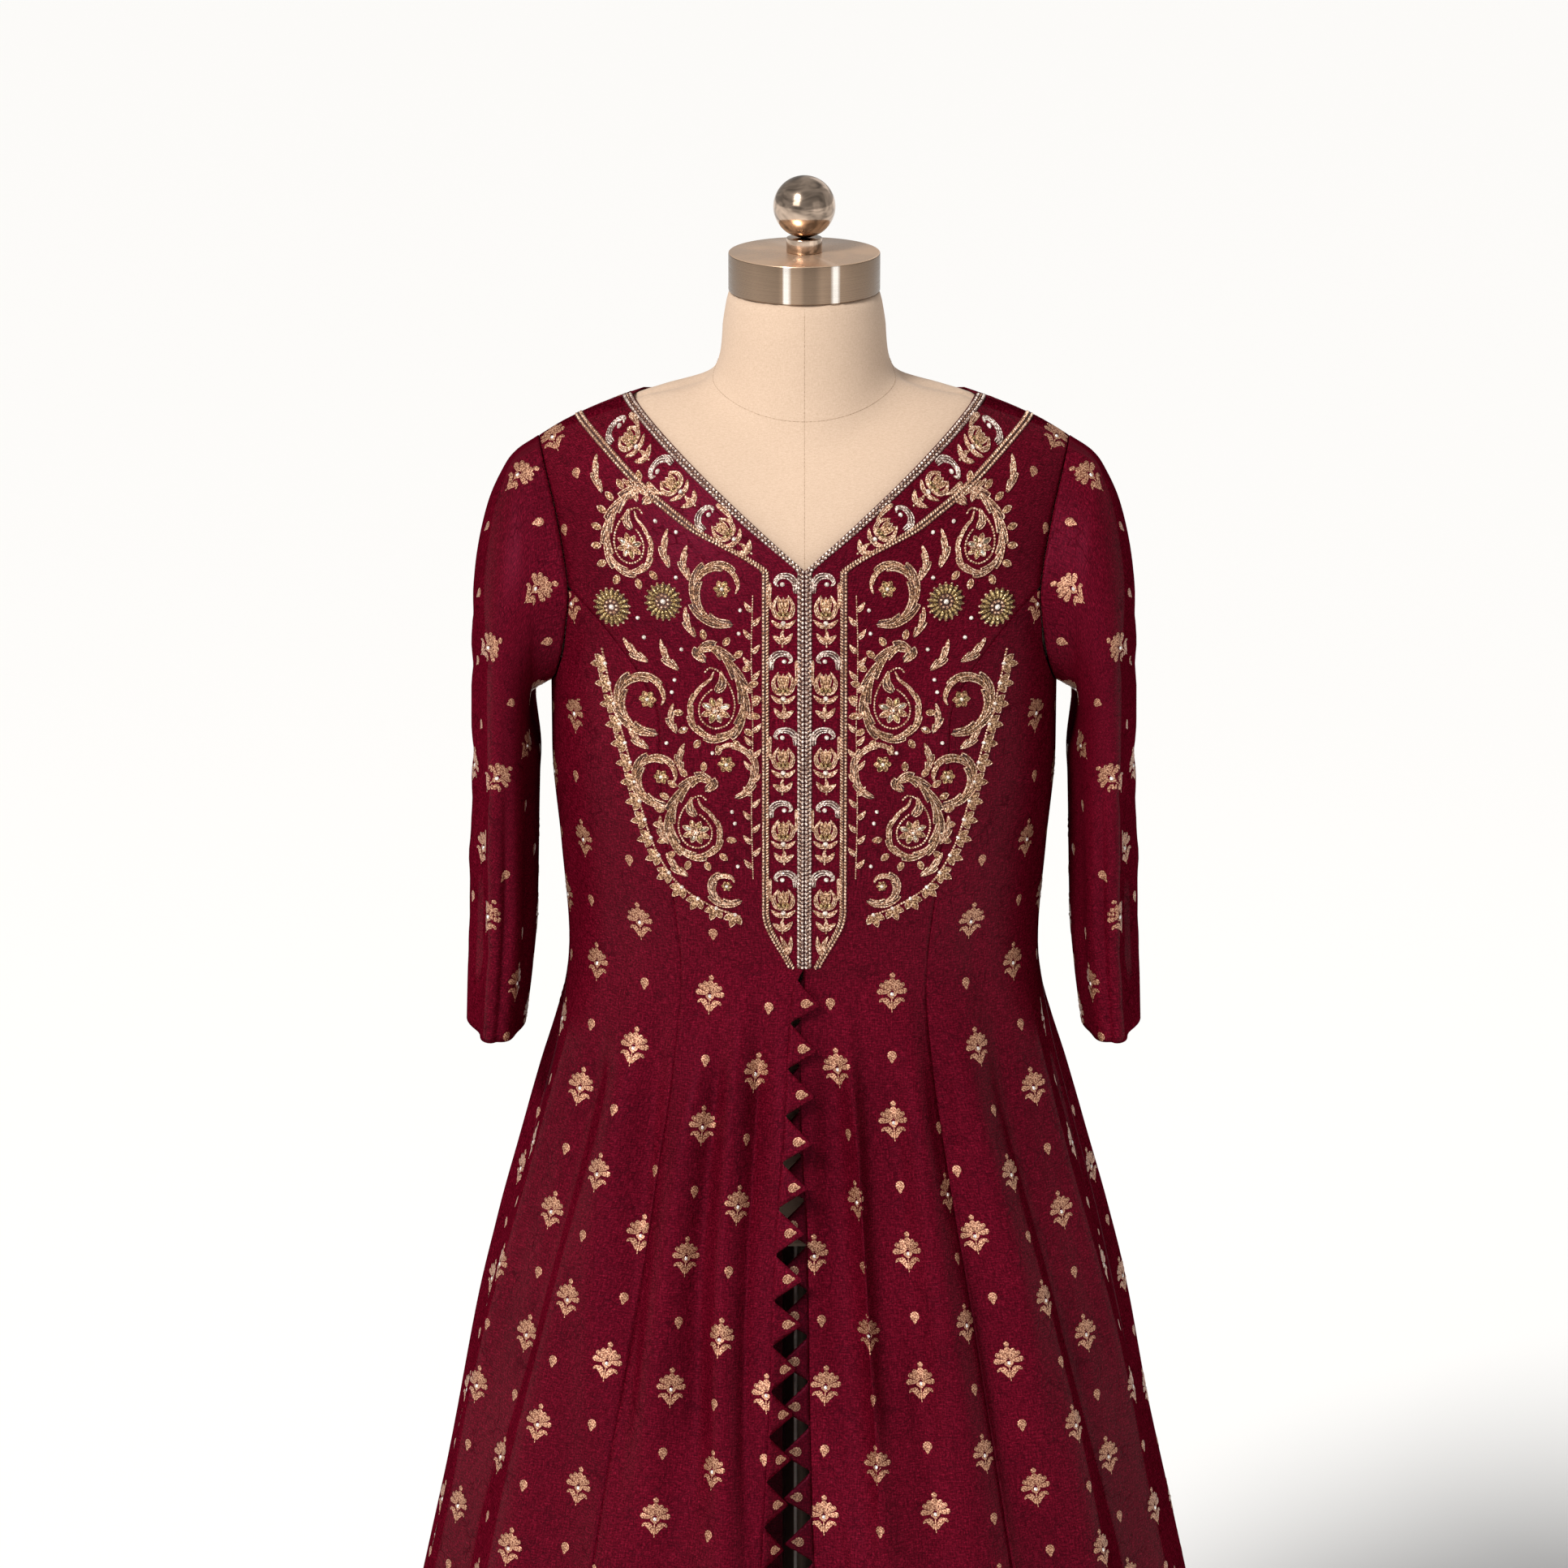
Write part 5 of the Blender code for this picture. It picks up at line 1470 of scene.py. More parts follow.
def beaded(work, points, pitch=0.0021, size=(0.0022, 0.0016), height=0.0013):
    """A line of beads along a path."""
    path = drawn(points, FINE_STEP)
    along = run_of(path)
    ahead = forward(path)
    for at in np.arange(pitch / 2, along[-1], pitch):
        across, up = read_along(ahead, along, at)
        dome(work, read_along(path, along, at), size, math.atan2(up, across), height, GOLD)


LEAF_STEP, LEAF_RISE, LEAF_SHARE, LEAF_BELLY = 0.0014, 0.0009, 0.76, 0.75
LEAF_SECTION = np.array((0.1, 0.9, 0.5, 0.9, 0.1))
OUTLINE_WIDTH, OUTLINE_HEIGHT = 0.0011, 0.0014
STRAND_WIDTH, STRAND_HEIGHT, STRAND_RUN, STRAND_GAP = 0.0008, 0.0009, 6, 0.0018
VEIN_WIDTH, VEIN_HEIGHT = 0.0010, 0.0012
LOBE_CUT, LOBE_LEAN, LOBE_CURVE = 0.62, 0.78, 1.3
STRAND_LIFT, VEIN_LIFT = 0.6, 0.45
SPRIG_AHEAD, SPRIG_OUT, SPRIG_BEND = 0.70, 0.72, 0.12
STRAND_OUT, NARROWEST_HALF = 0.80, 0.0010
PETAL_HEIGHT, RIM_WIDTH, RIM_HEIGHT = 0.0014, 0.0009, 0.0011


def leaf(work, points, width, teeth=0, strands=STRAND, outline=GOLD, root=0.06):
    """A leaf along a path: a dark bed whose colour is partly painted shade between the strands, slanting
    strands, a vein, and a cord round its lobed edge.
    """
    path = drawn(points, LEAF_STEP)
    count = len(path)
    share = np.linspace(0, 1, count)
    full = LEAF_SHARE * width / 2 * np.sin(np.pi * (root + (1 - root) * share) ** LEAF_BELLY)
    left, ahead = leftward(path), forward(path)
    halves = []
    for shift in (0.0, 0.5):
        lobe = (share * teeth + shift) % 1.0
        halves.append(full * (1 - LOBE_CUT * (1 - lobe) ** LOBE_CURVE) if teeth else full)
    right_half, left_half = halves
    spread = np.stack([-right_half, -right_half / 2, 0 * full, left_half / 2, left_half], axis=1)
    lean = LOBE_LEAN if teeth else 0.0
    flat = path[:, None, :] + left[:, None, :] * spread[..., None]
    flat = flat + ahead[:, None, :] * (np.abs(spread) * lean)[..., None]
    up = np.broadcast_to(LEAF_SECTION * LEAF_RISE, spread.shape)
    along = run_of(path)
    uv = np.stack([np.repeat(along, 5), spread.ravel()], axis=1)
    bed = np.concatenate([flat, up[..., None]], axis=2).reshape(-1, 3)
    heap(work, bed, uv, strip_faces(count, 5), BED_AND_PAINTED_SHADE)
    steepness = math.sin(math.atan2(STRAND_OUT * LEAF_SHARE * width / 2, STRAND_RUN * LEAF_STEP))
    for i in range(0, count - STRAND_RUN, max(2, round(STRAND_GAP / (LEAF_STEP * steepness)))):
        for column, half in ((0, right_half), (4, left_half)):
            if half[i + STRAND_RUN // 2] < NARROWEST_HALF:
                continue
            steps = np.arange(i, i + STRAND_RUN + 1)
            out = (STRAND_OUT * (steps - i) / STRAND_RUN)[:, None]
            line = path[steps] * (1 - out) + flat[steps, column] * out
            look = outline if i % 4 == 0 else strands
            cord(work, line[::2], STRAND_WIDTH, STRAND_HEIGHT, look, LEAF_RISE * STRAND_LIFT)
    cord(work, path[:-1], VEIN_WIDTH, VEIN_HEIGHT, outline, LEAF_RISE * VEIN_LIFT)
    for column in (0, 4):
        cord(work, flat[:, column], OUTLINE_WIDTH, OUTLINE_HEIGHT, outline)


def sprigs(work, points, pitch, length, width):
    """Small leaves that leave a stem on either side."""
    path = drawn(points, FINE_STEP)
    along = run_of(path)
    left, ahead = leftward(path), forward(path)
    for k, at in enumerate(np.arange(pitch, along[-1] - pitch / 2, pitch)):
        i = int(np.searchsorted(along, at))
        away = ahead[i] * SPRIG_AHEAD + left[i] * (SPRIG_OUT if k % 2 else -SPRIG_OUT)
        bend = ahead[i] * SPRIG_BEND * length
        leaf(work, (path[i], path[i] + away * length * 0.5 - bend, path[i] + away * length), width)


def petal(work, place, length, width, turn, look, outline=GOLD):
    """A pointed petal from its root, with a cord round it."""
    ahead = pointing(turn)
    left = np.array((-ahead[1], ahead[0]))
    middle = np.asarray(place) + ahead * length / 2
    dome(work, middle, (length * 0.86, width * 0.84), turn, PETAL_HEIGHT, look, form=DROP)
    share = np.concatenate([np.linspace(0, 1, 8), np.linspace(1, 0, 8)[1:]])
    out = np.concatenate([np.full(8, 1.0), np.full(7, -1.0)]) * np.sin(np.pi * share) ** 0.75 * width / 2
    ring = np.asarray(place) + share[:, None] * ahead * length + out[:, None] * left
    cord(work, ring, RIM_WIDTH, RIM_HEIGHT, outline)


def mirror_flower(work, place, radius, petals, turn):
    """Petals of many looks round a pearl."""
    for k, away in enumerate(round_angles(petals, turn)):
        root = np.asarray(place) + radius * 0.24 * pointing(away)
        look = (MIRROR, BUGLE, STRAND, MIRROR, STRAND)[k % 5]
        reach = radius * (0.84, 0.72, 0.80, 0.88)[k % 4]
        petal(work, root, reach, radius * 0.40, away, look)
    for away in round_angles(6):
        spot = np.asarray(place) + radius * 0.17 * pointing(away)
        dome(work, spot, (0.0023, 0.0023), away, 0.0024, GOLD)
    pearl(work, place, 0.0026, 0.0030)


BUGLES, INNER_BEADS = 18, 9
ROSETTE_BED, ROSETTE_PEARL, OUTER_RING, INNER_RING = 1.8, 0.30, 0.94, 0.30
BUGLE_RING, BUGLE_LENGTH, BUGLE_MIDDLE, BUGLE_FILL = 0.68, 0.64, 0.7, 0.86


def bead_rosette(place, radius):
    """Bugle beads standing round a bead, as high as its solid."""
    work = pile()
    # A dark bed under the beads, partly painted shade.
    dome(work, place, (radius * ROSETTE_BED, radius * ROSETTE_BED), 0.0, 0.0014, BED_AND_PAINTED_SHADE, form=DISC)
    size = (radius * BUGLE_LENGTH, 2 * np.pi * radius * BUGLE_MIDDLE / BUGLES * BUGLE_FILL)
    for away in round_angles(BUGLES, shift=0.5):
        ahead = pointing(away)
        dome(work, place + ahead * radius * BUGLE_RING, size, away, 0.0026, BUGLE, 0.0004, DROP)
        dome(work, place + ahead * radius * OUTER_RING, (0.0018, 0.0018), away, 0.0016, GOLD, 0.0002)
    for away in round_angles(INNER_BEADS):
        spot = place + radius * INNER_RING * pointing(away)
        dome(work, spot, (0.0022, 0.0022), away, 0.0022, GOLD, 0.0009)
    pearl(work, place, radius * ROSETTE_PEARL, 0.0028, 0.0006)
    return work


TALL_LEAF = np.array(((0.0, -0.0075), (0.0046, -0.0050), (0.0062, 0.0015), (0.0030, 0.0088)))
LOW_LEAF = np.array(((0.0, -0.0125), (0.0036, -0.0118), (0.0080, -0.0080)))
CURL = (
    (-0.0080, 0.0100), (-0.0078, 0.0165), (-0.0038, 0.0212),
    (0.0022, 0.0212), (0.0052, 0.0172), (0.0030, 0.0146),
)
BESIDE_CURL = ((0.0086, 0.0170), (0.0092, 0.0080), (0.0078, -0.0010))
ROOT_LEAVES = ((-0.0060, -0.0172), (0.0010, -0.0158), (0.0068, -0.0190))
UNIT_STEM = ((0.0006, -0.0275), (0.0004, -0.0200), (0.0, -0.0130))


def neck_unit():
    """One unit of the bands' running pattern, up from its middle: a tulip of leaves, a curl and roots."""
    work = pile()
    for side in (-1, 1):
        leaf(work, TALL_LEAF * (side, 1.0), 0.0032)
        leaf(work, LOW_LEAF * (side, 1.0), 0.0036)
    for across in (-0.0024, 0.0, 0.0024):
        petal(work, (across * 0.5, -0.0040), 0.0112, 0.0027, np.pi / 2 - across * 55, STRAND)
        lean = np.pi / 2 - across * 90
        dome(work, (across * 1.1, -0.0045), (0.0046, 0.0022), lean, 0.0020, BUGLE, 0.0006, DROP)
    pearl(work, (0.0, -0.0104), 0.0034, 0.0024)
    leaf(work, CURL, 0.0048, strands=SILVER, outline=SILVER, root=0.14)
    pearl(work, (0.0006, 0.0160), 0.0032, 0.0024)
    leaf(work, BESIDE_CURL, 0.0034)
    for tip in ROOT_LEAVES:
        leaf(work, ((0.0006, -0.0245), (tip[0] * 0.5, -0.0215), tip), 0.0040)
    beaded(work, UNIT_STEM)
    return work


# The yoke on the wearer's left, as distances from the middle and heights above the floor

PAISLEY_EDGE = np.array((
    (0.16, 0.82), (0.25, 0.90), (0.16, 0.99), (0.01, 0.95), (-0.15, 0.79), (-0.27, 0.57), (-0.30, 0.33),
    (-0.21, 0.10), (0.00, 0.00), (0.21, 0.10), (0.28, 0.31), (0.22, 0.50), (0.10, 0.64), (0.06, 0.74),
))
PAISLEY_MIDDLE = np.array((0.0, 0.34))
PAISLEY_LEAF = np.array(((0.02, 0.52), (-0.04, 0.62), (-0.01, 0.76)))
RIM_SHARE, RIM_TEETH, BEADS_SHARE, LEAF_WIDTH_SHARE = 0.19, 11, 0.66, 0.12
FLOWER_SHARE, FLOWER_UP, FLOWER_PETALS, FLOWER_TURN = 0.15, 0.94, 8, 0.3
PAISLEYS = table(
    "x z size turn flip",
    (0.0760, 1.0820, 0.062, -0.10, True),
    (0.0655, 1.1740, 0.066, 0.10, False),
    (0.1255, 1.2860, 0.056, 0.00, True),
)
TENDRILS = table(
    "from_x from_z heart_x heart_z turns width teeth",
    (0.0450, 1.0490, 0.0560, 1.0600, 0.80, 0.0105, 3),
    (0.0985, 1.1200, 0.1030, 1.1420, 0.85, 0.0125, 4),
    (0.0500, 1.1300, 0.0560, 1.1550, -0.60, 0.0090, 3),
    (0.1050, 1.1740, 0.1125, 1.1990, 0.85, 0.0135, 4),
    (0.0510, 1.2560, 0.0590, 1.2800, 0.85, 0.0135, 4),
)
SPRAYS = table(
    "width path",
    (0.0090, ((0.084, 1.066), (0.093, 1.072), (0.100, 1.083))),
    (0.0085, ((0.098, 1.090), (0.103, 1.100), (0.104, 1.112))),
    (0.0085, ((0.088, 1.146), (0.090, 1.158), (0.086, 1.169))),
    (0.0090, ((0.112, 1.162), (0.121, 1.168), (0.127, 1.179))),
    (0.0090, ((0.092, 1.176), (0.096, 1.186), (0.094, 1.198))),
    (0.0095, ((0.090, 1.222), (0.099, 1.230), (0.103, 1.243))),
    (0.0095, ((0.112, 1.226), (0.122, 1.231), (0.130, 1.241))),
    (0.0085, ((0.078, 1.246), (0.084, 1.256), (0.085, 1.267))),
    (0.0090, ((0.082, 1.284), (0.087, 1.296), (0.084, 1.308))),
    (0.0085, ((0.097, 1.292), (0.101, 1.304), (0.098, 1.318))),
    (0.0085, ((0.146, 1.336), (0.151, 1.347), (0.150, 1.360))),
    (0.0080, ((0.120, 1.333), (0.124, 1.341), (0.131, 1.347))),
)
EDGE_LINE = (
    (0.046, 1.036), (0.068, 1.044), (0.092, 1.060), (0.108, 1.086),
    (0.118, 1.118), (0.127, 1.156), (0.138, 1.196), (0.146, 1.232),
)
RAY_START, RAY_END, RAY_PITCH, RAY_OUT, RAY_LENGTH, RAY_WIDTH = 0.016, 0.034, 0.0098, 0.075, 0.0072, 0.0042
COIL_POINTS, COIL_DRAWN_IN, COIL_PETAL_LENGTH, COIL_PETAL_WIDTH, BLUNT_ROOT = 12, 0.60, 0.24, 0.15, 0.16
TREFOIL_START, TREFOIL_PITCH, TREFOIL_SIZE = 0.004, 0.0145, 0.0105
INNER_LINE = ((0.0370, 1.066), (0.0380, 1.120), (0.0370, 1.180), (0.0380, 1.235), (0.0370, 1.276))
YOKE_PEARLS = (
    (0.050, 1.110), (0.052, 1.119), (0.066, 1.163), (0.099, 1.168), (0.095, 1.206), (0.093, 1.215),
    (0.088, 1.237), (0.115, 1.243), (0.047, 1.250), (0.046, 1.266), (0.092, 1.286), (0.1195, 1.256),
    (0.092, 1.316), (0.107, 1.322), (0.086, 1.180), (0.048, 1.076),
)
YOKE_EDGE = table(
    "z x",
    (0.985, 0.012),
    (1.018, 0.050),
    (1.045, 0.090),
    (1.080, 0.116),
    (1.118, 0.126),
    (1.173, 0.140),
    (1.234, 0.154),
    (1.366, 0.154),
)
ROSETTES = table("name x z radius", ("rosette_1", 0.101, 1.269, 0.0135), ("rosette_2", 0.138, 1.261, 0.0135))


def turned_round(points, turn):
    """Flat points turned about their origin, each by its own angle or all by one."""
    cosine, sine = np.cos(turn), np.sin(turn)
    across, up = points[:, 0], points[:, 1]
    return np.stack([across * cosine - up * sine, across * sine + up * cosine], axis=1)


def stations(line, start, end, pitch):
    """Places along a line at a pitch, each with the direction to its right and that direction's angle."""
    path = drawn(line, FINE_STEP)
    along, out = run_of(path), -leftward(path)
    for at in np.arange(start, along[-1] - end, pitch):
        i = int(np.searchsorted(along, at))
        yield path[i], out[i], math.atan2(out[i, 1], out[i, 0])


def paisley(work, place, size, turn, flip):
    """A drop with a bent tip: a toothed rim, beads in it, a flower in its round part and rays about it."""
    motif = pile()
    leaf(motif, PAISLEY_EDGE * size, size * RIM_SHARE, RIM_TEETH, root=BLUNT_ROOT)
    beaded(motif, (PAISLEY_MIDDLE + (PAISLEY_EDGE[1:-1] - PAISLEY_MIDDLE) * BEADS_SHARE) * size)
    mirror_flower(motif, PAISLEY_MIDDLE * size * FLOWER_UP, size * FLOWER_SHARE, FLOWER_PETALS, FLOWER_TURN)
    leaf(motif, PAISLEY_LEAF * size, size * LEAF_WIDTH_SHARE)
    for edge, out, away in stations(PAISLEY_EDGE * size, RAY_START, RAY_END, RAY_PITCH):
        petal(motif, edge + out * size * RAY_OUT, RAY_LENGTH, RAY_WIDTH, away, STRAND)
    merged(work, motif, place, turn, flip)


def tendril(work, root, heart, turns, width, teeth):
    """A leafy tendril that coils round a small flower."""
    gone = np.linspace(0, 1, COIL_POINTS)
    heart = np.array(heart)
    start = np.array(root) - heart
    reach = start[None] * (1 - COIL_DRAWN_IN * gone)[:, None]
    leaf(work, heart + turned_round(reach, 2 * np.pi * turns * gone), width, teeth, root=BLUNT_ROOT)
    size = np.linalg.norm(start)
    for k, away in enumerate(round_angles(6)):
        look = (BUGLE, STRAND)[k % 2]
        petal(work, heart, size * COIL_PETAL_LENGTH, size * COIL_PETAL_WIDTH, away, look, outline=STRAND)
    pearl(work, heart, 0.0030, 0.0026)


def trefoil(work, place, size, turn):
    """Three petals and a pearl."""
    for lean in (-0.85, 0.0, 0.85):
        petal(work, place, size * (1.0 - 0.2 * abs(lean)), size * 0.44, turn + lean, STRAND)
    pearl(work, place, 0.0028, 0.0020)


def yoke():
    """Paisleys and coiling tendrils, trefoils along the outer edge and a leafy stem along the inner one."""
    work = pile()
    for row in PAISLEYS:
        paisley(work, (row["x"], row["z"]), row["size"], row["turn"], row["flip"])
    for row in TENDRILS:
        root, heart = (row["from_x"], row["from_z"]), (row["heart_x"], row["heart_z"])
        tendril(work, root, heart, row["turns"], row["width"], row["teeth"])
    for row in SPRAYS:
        leaf(work, row["path"], row["width"], 2)
    beaded(work, EDGE_LINE)
    for place, _, away in stations(EDGE_LINE, TREFOIL_START, 0.0, TREFOIL_PITCH):
        trefoil(work, place, TREFOIL_SIZE, away)
    beaded(work, INNER_LINE, 0.0018, (0.0019, 0.0012), 0.0011)
    sprigs(work, INNER_LINE, 0.0095, 0.0085, 0.0040)
    for place in YOKE_PEARLS:
        pearl(work, place, 0.0029, 0.0020)
    return work


PLACKET_UNITS = (1.0500, 1.1050, 1.1600, 1.2150, 1.2680)
PLACKET_TIP = ((0.0120, 0.000, 1.006), (0.0120, 0.002, 1.014), (0.0135, 0.004, 1.021))
BAND_MIDDLE = 0.0152
BAND_FILL = 1.12
NECK_UNITS = (0.0640, 0.1190, 0.1740)


def placket():
    """The band beside the opening, every second unit mirrored, with two leaves at its tip."""
    work = pile()
    unit_of_band = neck_unit()
    unit_of_band["points"] = [points * (BAND_FILL, 1.0, 1.0) for points in unit_of_band["points"]]
    for k, z in enumerate(PLACKET_UNITS):
        merged(work, unit_of_band, (BAND_MIDDLE, z), 0.0, k % 2 == 1)
    for side in (-1, 1):
        leaf(work, [(x + side * beside, z) for x, beside, z in PLACKET_TIP], 0.0036)
    return work


def neck_band():
    """The band along the neck, from the same unit."""
    work = pile()
    unit_of_band = neck_unit()
    for k, along in enumerate(NECK_UNITS):
        merged(work, unit_of_band, (along, -BAND_MIDDLE), -np.pi / 2, k % 2 == 0)
    return work


# Carrying flat work onto the cloth

LATTICE_X = np.linspace(0.0, 0.170, 171)
LATTICE_Z = np.linspace(0.970, 1.400, 216)
SUNK = 0.00015


def front_lattice():
    """Depth and normals of the front behind each x and z of a lattice."""
    x, z = np.meshgrid(LATTICE_X, LATTICE_Z)
    climb = (z - ARMPIT_Z) / (RIDGE(x) - ARMPIT_Z)
    levels = np.where(z <= ARMPIT_Z, z, ARMPIT_Z + climb * (RIDGE_LEVEL - ARMPIT_Z))
    angles = solve(lambda a: surface(a, levels)[..., 0] > x, np.zeros(x.shape), np.full(x.shape, NEARLY_SIDE))
    depth = surface(angles, levels)[..., 1]
    by_z, by_x = np.gradient(depth, LATTICE_Z[1] - LATTICE_Z[0], LATTICE_X[1] - LATTICE_X[0])
    return np.stack([depth, by_x, by_z], axis=-1)


FRONT_LATTICE = front_lattice()


def laid_on_front(points):
    """Flat points of (x, z, height) on the wearer's left, laid on the front."""
    column = np.clip((points[:, 0] - LATTICE_X[0]) / (LATTICE_X[1] - LATTICE_X[0]), 0, len(LATTICE_X) - 1.001)
    row = np.clip((points[:, 1] - LATTICE_Z[0]) / (LATTICE_Z[1] - LATTICE_Z[0]), 0, len(LATTICE_Z) - 1.001)
    i, j = row.astype(int), column.astype(int)
    t, s = (row - i)[:, None], (column - j)[:, None]
    near = FRONT_LATTICE[i, j] * (1 - s) + FRONT_LATTICE[i, j + 1] * s
    far = FRONT_LATTICE[i + 1, j] * (1 - s) + FRONT_LATTICE[i + 1, j + 1] * s
    read = near * (1 - t) + far * t
    normals = unit(np.stack([read[:, 1], np.full(len(read), -1.0), read[:, 2]], axis=1))
    places = np.stack([points[:, 0], read[:, 0], points[:, 1]], axis=1)
    return places + normals * (points[:, 2] - SUNK)[:, None]


def neck_line(levels, across):
    """Points and normals at distances from the neck's edge, or from the middle below it, along the rows."""
    angles = turned_by(front_neck_angle(levels), levels, across)
    around = surface(angles + NECK_STEP, levels) - surface(angles - NECK_STEP, levels)
    up = surface(angles, levels) - surface(angles, levels - LEVEL_STEP)
    return surface(angles, levels), unit(np.cross(around, up))


NECK_SLOPE = math.atan2(NECK_SIDE_Z - APEX_Z, NECK_HALF_WIDTH)
CROWDED_FROM, CROWDED_SPAN = 1.36, 0.0575
NECK_STEP, LEVEL_STEP = 0.3, 0.002


def neck_levels(low, even, crowded, nearest):
    """Levels from the lowest to near the ridge, evenly at first and then ever closer together."""
    closing_in = RIDGE_LEVEL - CROWDED_SPAN * np.linspace(1, nearest, crowded)[1:] ** 2
    return np.concatenate([np.linspace(low, CROWDED_FROM, even), closing_in])


BAND_LEVELS = neck_levels(APEX_Z, 120, 160, 0.02)


def laid_on_band(points):
    """Points of (distance up the neck's edge, less the distance from it, height) laid on the shoulder."""
    away = -points[:, 1]
    edge, _ = neck_line(BAND_LEVELS, np.full(len(BAND_LEVELS), SEAM / 2))
    gone = run_of(edge)
    levels = np.interp(points[:, 0] - away / math.tan(NECK_SLOPE), gone, BAND_LEVELS)
    places, normals = neck_line(levels, away / math.sin(NECK_SLOPE))
    return places + normals * (points[:, 2] - SUNK)[:, None]


def on_sheet(sheet, flat):
    """Flat points of (across, up, height) laid on a shell by its cloth coordinates."""
    across, up = flat[:, 0], flat[:, 1]
    rows = sheet["up"][:, 0]
    place = np.clip(np.interp(up, rows, np.arange(len(rows))), 0, len(rows) - 1.001)
    low = place.astype(int)
    t = place - low
    read = np.zeros((len(flat), 6))
    table_of = np.concatenate([sheet["points"], sheet["normals"]], axis=2)
    widths = sheet["across"]
    if sheet["wrapped"]:
        widths = np.concatenate([widths, widths[:, -1:] + closing_width(sheet)[:, None]], axis=1)
        table_of = np.concatenate([table_of, table_of[:, :1]], axis=1)
    for row in np.unique(low):
        chosen = np.nonzero(low == row)[0]
        for near, weight in ((row, 1 - t[chosen]), (row + 1, t[chosen])):
            for k in range(6):
                read[chosen, k] += weight * np.interp(across[chosen], widths[near], table_of[near, :, k])
    return read[:, :3] + unit(read[:, 3:]) * flat[:, 2:3]


def as_made(points):
    """For ornament whose points already lie in place."""
    return points


def ornament(name, work, laid, looks, replaced=(), right=False):
    """Makes one piece of a heap, on the wearer's left or mirrored to the right."""
    placed = laid(np.concatenate(work["points"]))
    faces = work["faces"]
    if right:
        placed = placed * (-1.0, 1.0, 1.0)
        faces = [face[::-1] for face in faces]
    uv = np.concatenate(work["uv"])
    piece = mesh_piece(name, placed, faces, looks, uv, work["looks"])
    if replaced:
        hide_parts(*replaced)
    return piece


# Braids

BRAID_LEVELS = neck_levels(TIP_Z + 0.0006, 300, 200, 0.004)
ACROSS = {
    column: reader(BRAID_ACROSS, "level", column)
    for column in ("edge_braid_out", "border_braid_in", "border_braid_out")
}


def bead_string(work, inner, outer, share, pitch, size, height, look, slant, base):
    """Beads along a braid, at a share of its width."""
    across = inner(BRAID_LEVELS) * (1 - share) + outer(BRAID_LEVELS) * share
    line, ups = neck_line(BRAID_LEVELS, across)
    strung(work, line, ups, pitch, size, height, look, slant, base, share)


def strung(work, line, ups, pitch, size, height, look, slant=0.0, base=0.0, shift=0.5):
    """Beads or stitches along a line on a surface whose normals are ups."""
    gone = run_of(line)
    at = (np.arange(int(gone[-1] / pitch)) + shift) * pitch
    place, up = read_along(line, gone, at), unit(read_along(ups, gone, at))
    ahead = forward(place)
    left = unit(np.cross(up, ahead))
    long_way = ahead * math.cos(slant) + left * math.sin(slant)
    wide_way = left * math.cos(slant) - ahead * math.sin(slant)
    points, faces = BEAD
    for middle, u, v, w in zip(place, long_way, wide_way, up):
        made = middle + points[:, :1] * size[0] * u + points[:, 1:2] * size[1] * v
        made = made + (base + points[:, 2:] * height) * w
        heap(work, made, points[:, :2] * np.array(size), faces, look)


BED_HEIGHT = 0.0010


def braid_bed(work, inner, outer):
    """A low rounded strip under the beads, dark as partly painted shade between them."""
    levels = BRAID_LEVELS[::3]
    grid = []
    for share, rise in zip((0.03, 0.22, 0.5, 0.78, 0.97), (0.0, 0.8, 1.0, 0.8, 0.0)):
        across = inner(levels) * (1 - share) + outer(levels) * share
        line, ups = neck_line(levels, across)
        grid.append(line + ups * rise * BED_HEIGHT)
    grid = np.stack(grid[::-1], axis=1)
    along = lengths(grid, 0)
    uv = np.stack([along.ravel(), np.tile(np.linspace(0, 0.005, 5), len(levels))], axis=1)
    heap(work, grid.reshape(-1, 3), uv, strip_faces(len(levels), 5), BED_AND_PAINTED_SHADE)


EDGE_BEADS = table(
    "share pitch size height look slant base",
    (0.24, 0.0033, (0.0031, 0.0023), 0.0018, SILVER, 0.30, 0.0005),
    (0.76, 0.0033, (0.0031, 0.0023), 0.0018, SILVER, -0.30, 0.0005),
    (0.50, 0.0033, (0.0014, 0.0012), 0.0016, GOLD, 0.0, 0.0005),
)
BORDER_BEADS = table(
    "share pitch size height look slant base",
    (0.26, 0.0022, (0.0036, 0.0016), 0.0016, GOLD, 0.85, 0.0006),
    (0.76, 0.0027, (0.0026, 0.0022), 0.0018, GOLD, 0.0, 0.0006),
)


def braid(inner, outer, beads):
    """A braid between two lines beside the neck's edge: a low bed with strings of beads on it."""
    work = pile()
    braid_bed(work, inner, outer)
    for row in beads:
        bead_string(work, inner, outer, **row)
    return work


def edge_braid():
    return braid(lambda levels: np.full(len(levels), SEAM), ACROSS["edge_braid_out"], EDGE_BEADS)


def border_braid():
    return braid(ACROSS["border_braid_in"], ACROSS["border_braid_out"], BORDER_BEADS)


# Woven motifs, in their own metres round their middle

WEFT_HEIGHTS = np.array((0.00018, 0.00036, 0.00018))
PETAL_SHARES = (0.0, 0.25, 0.52, 0.78, 0.94, 1.0)
PETAL_FORM = (0.26, 0.56, 0.86, 1.00, 0.76, 0.34)
LEAF_FORM = (0.30, 0.92, 1.00, 0.78, 0.42, 0.16)


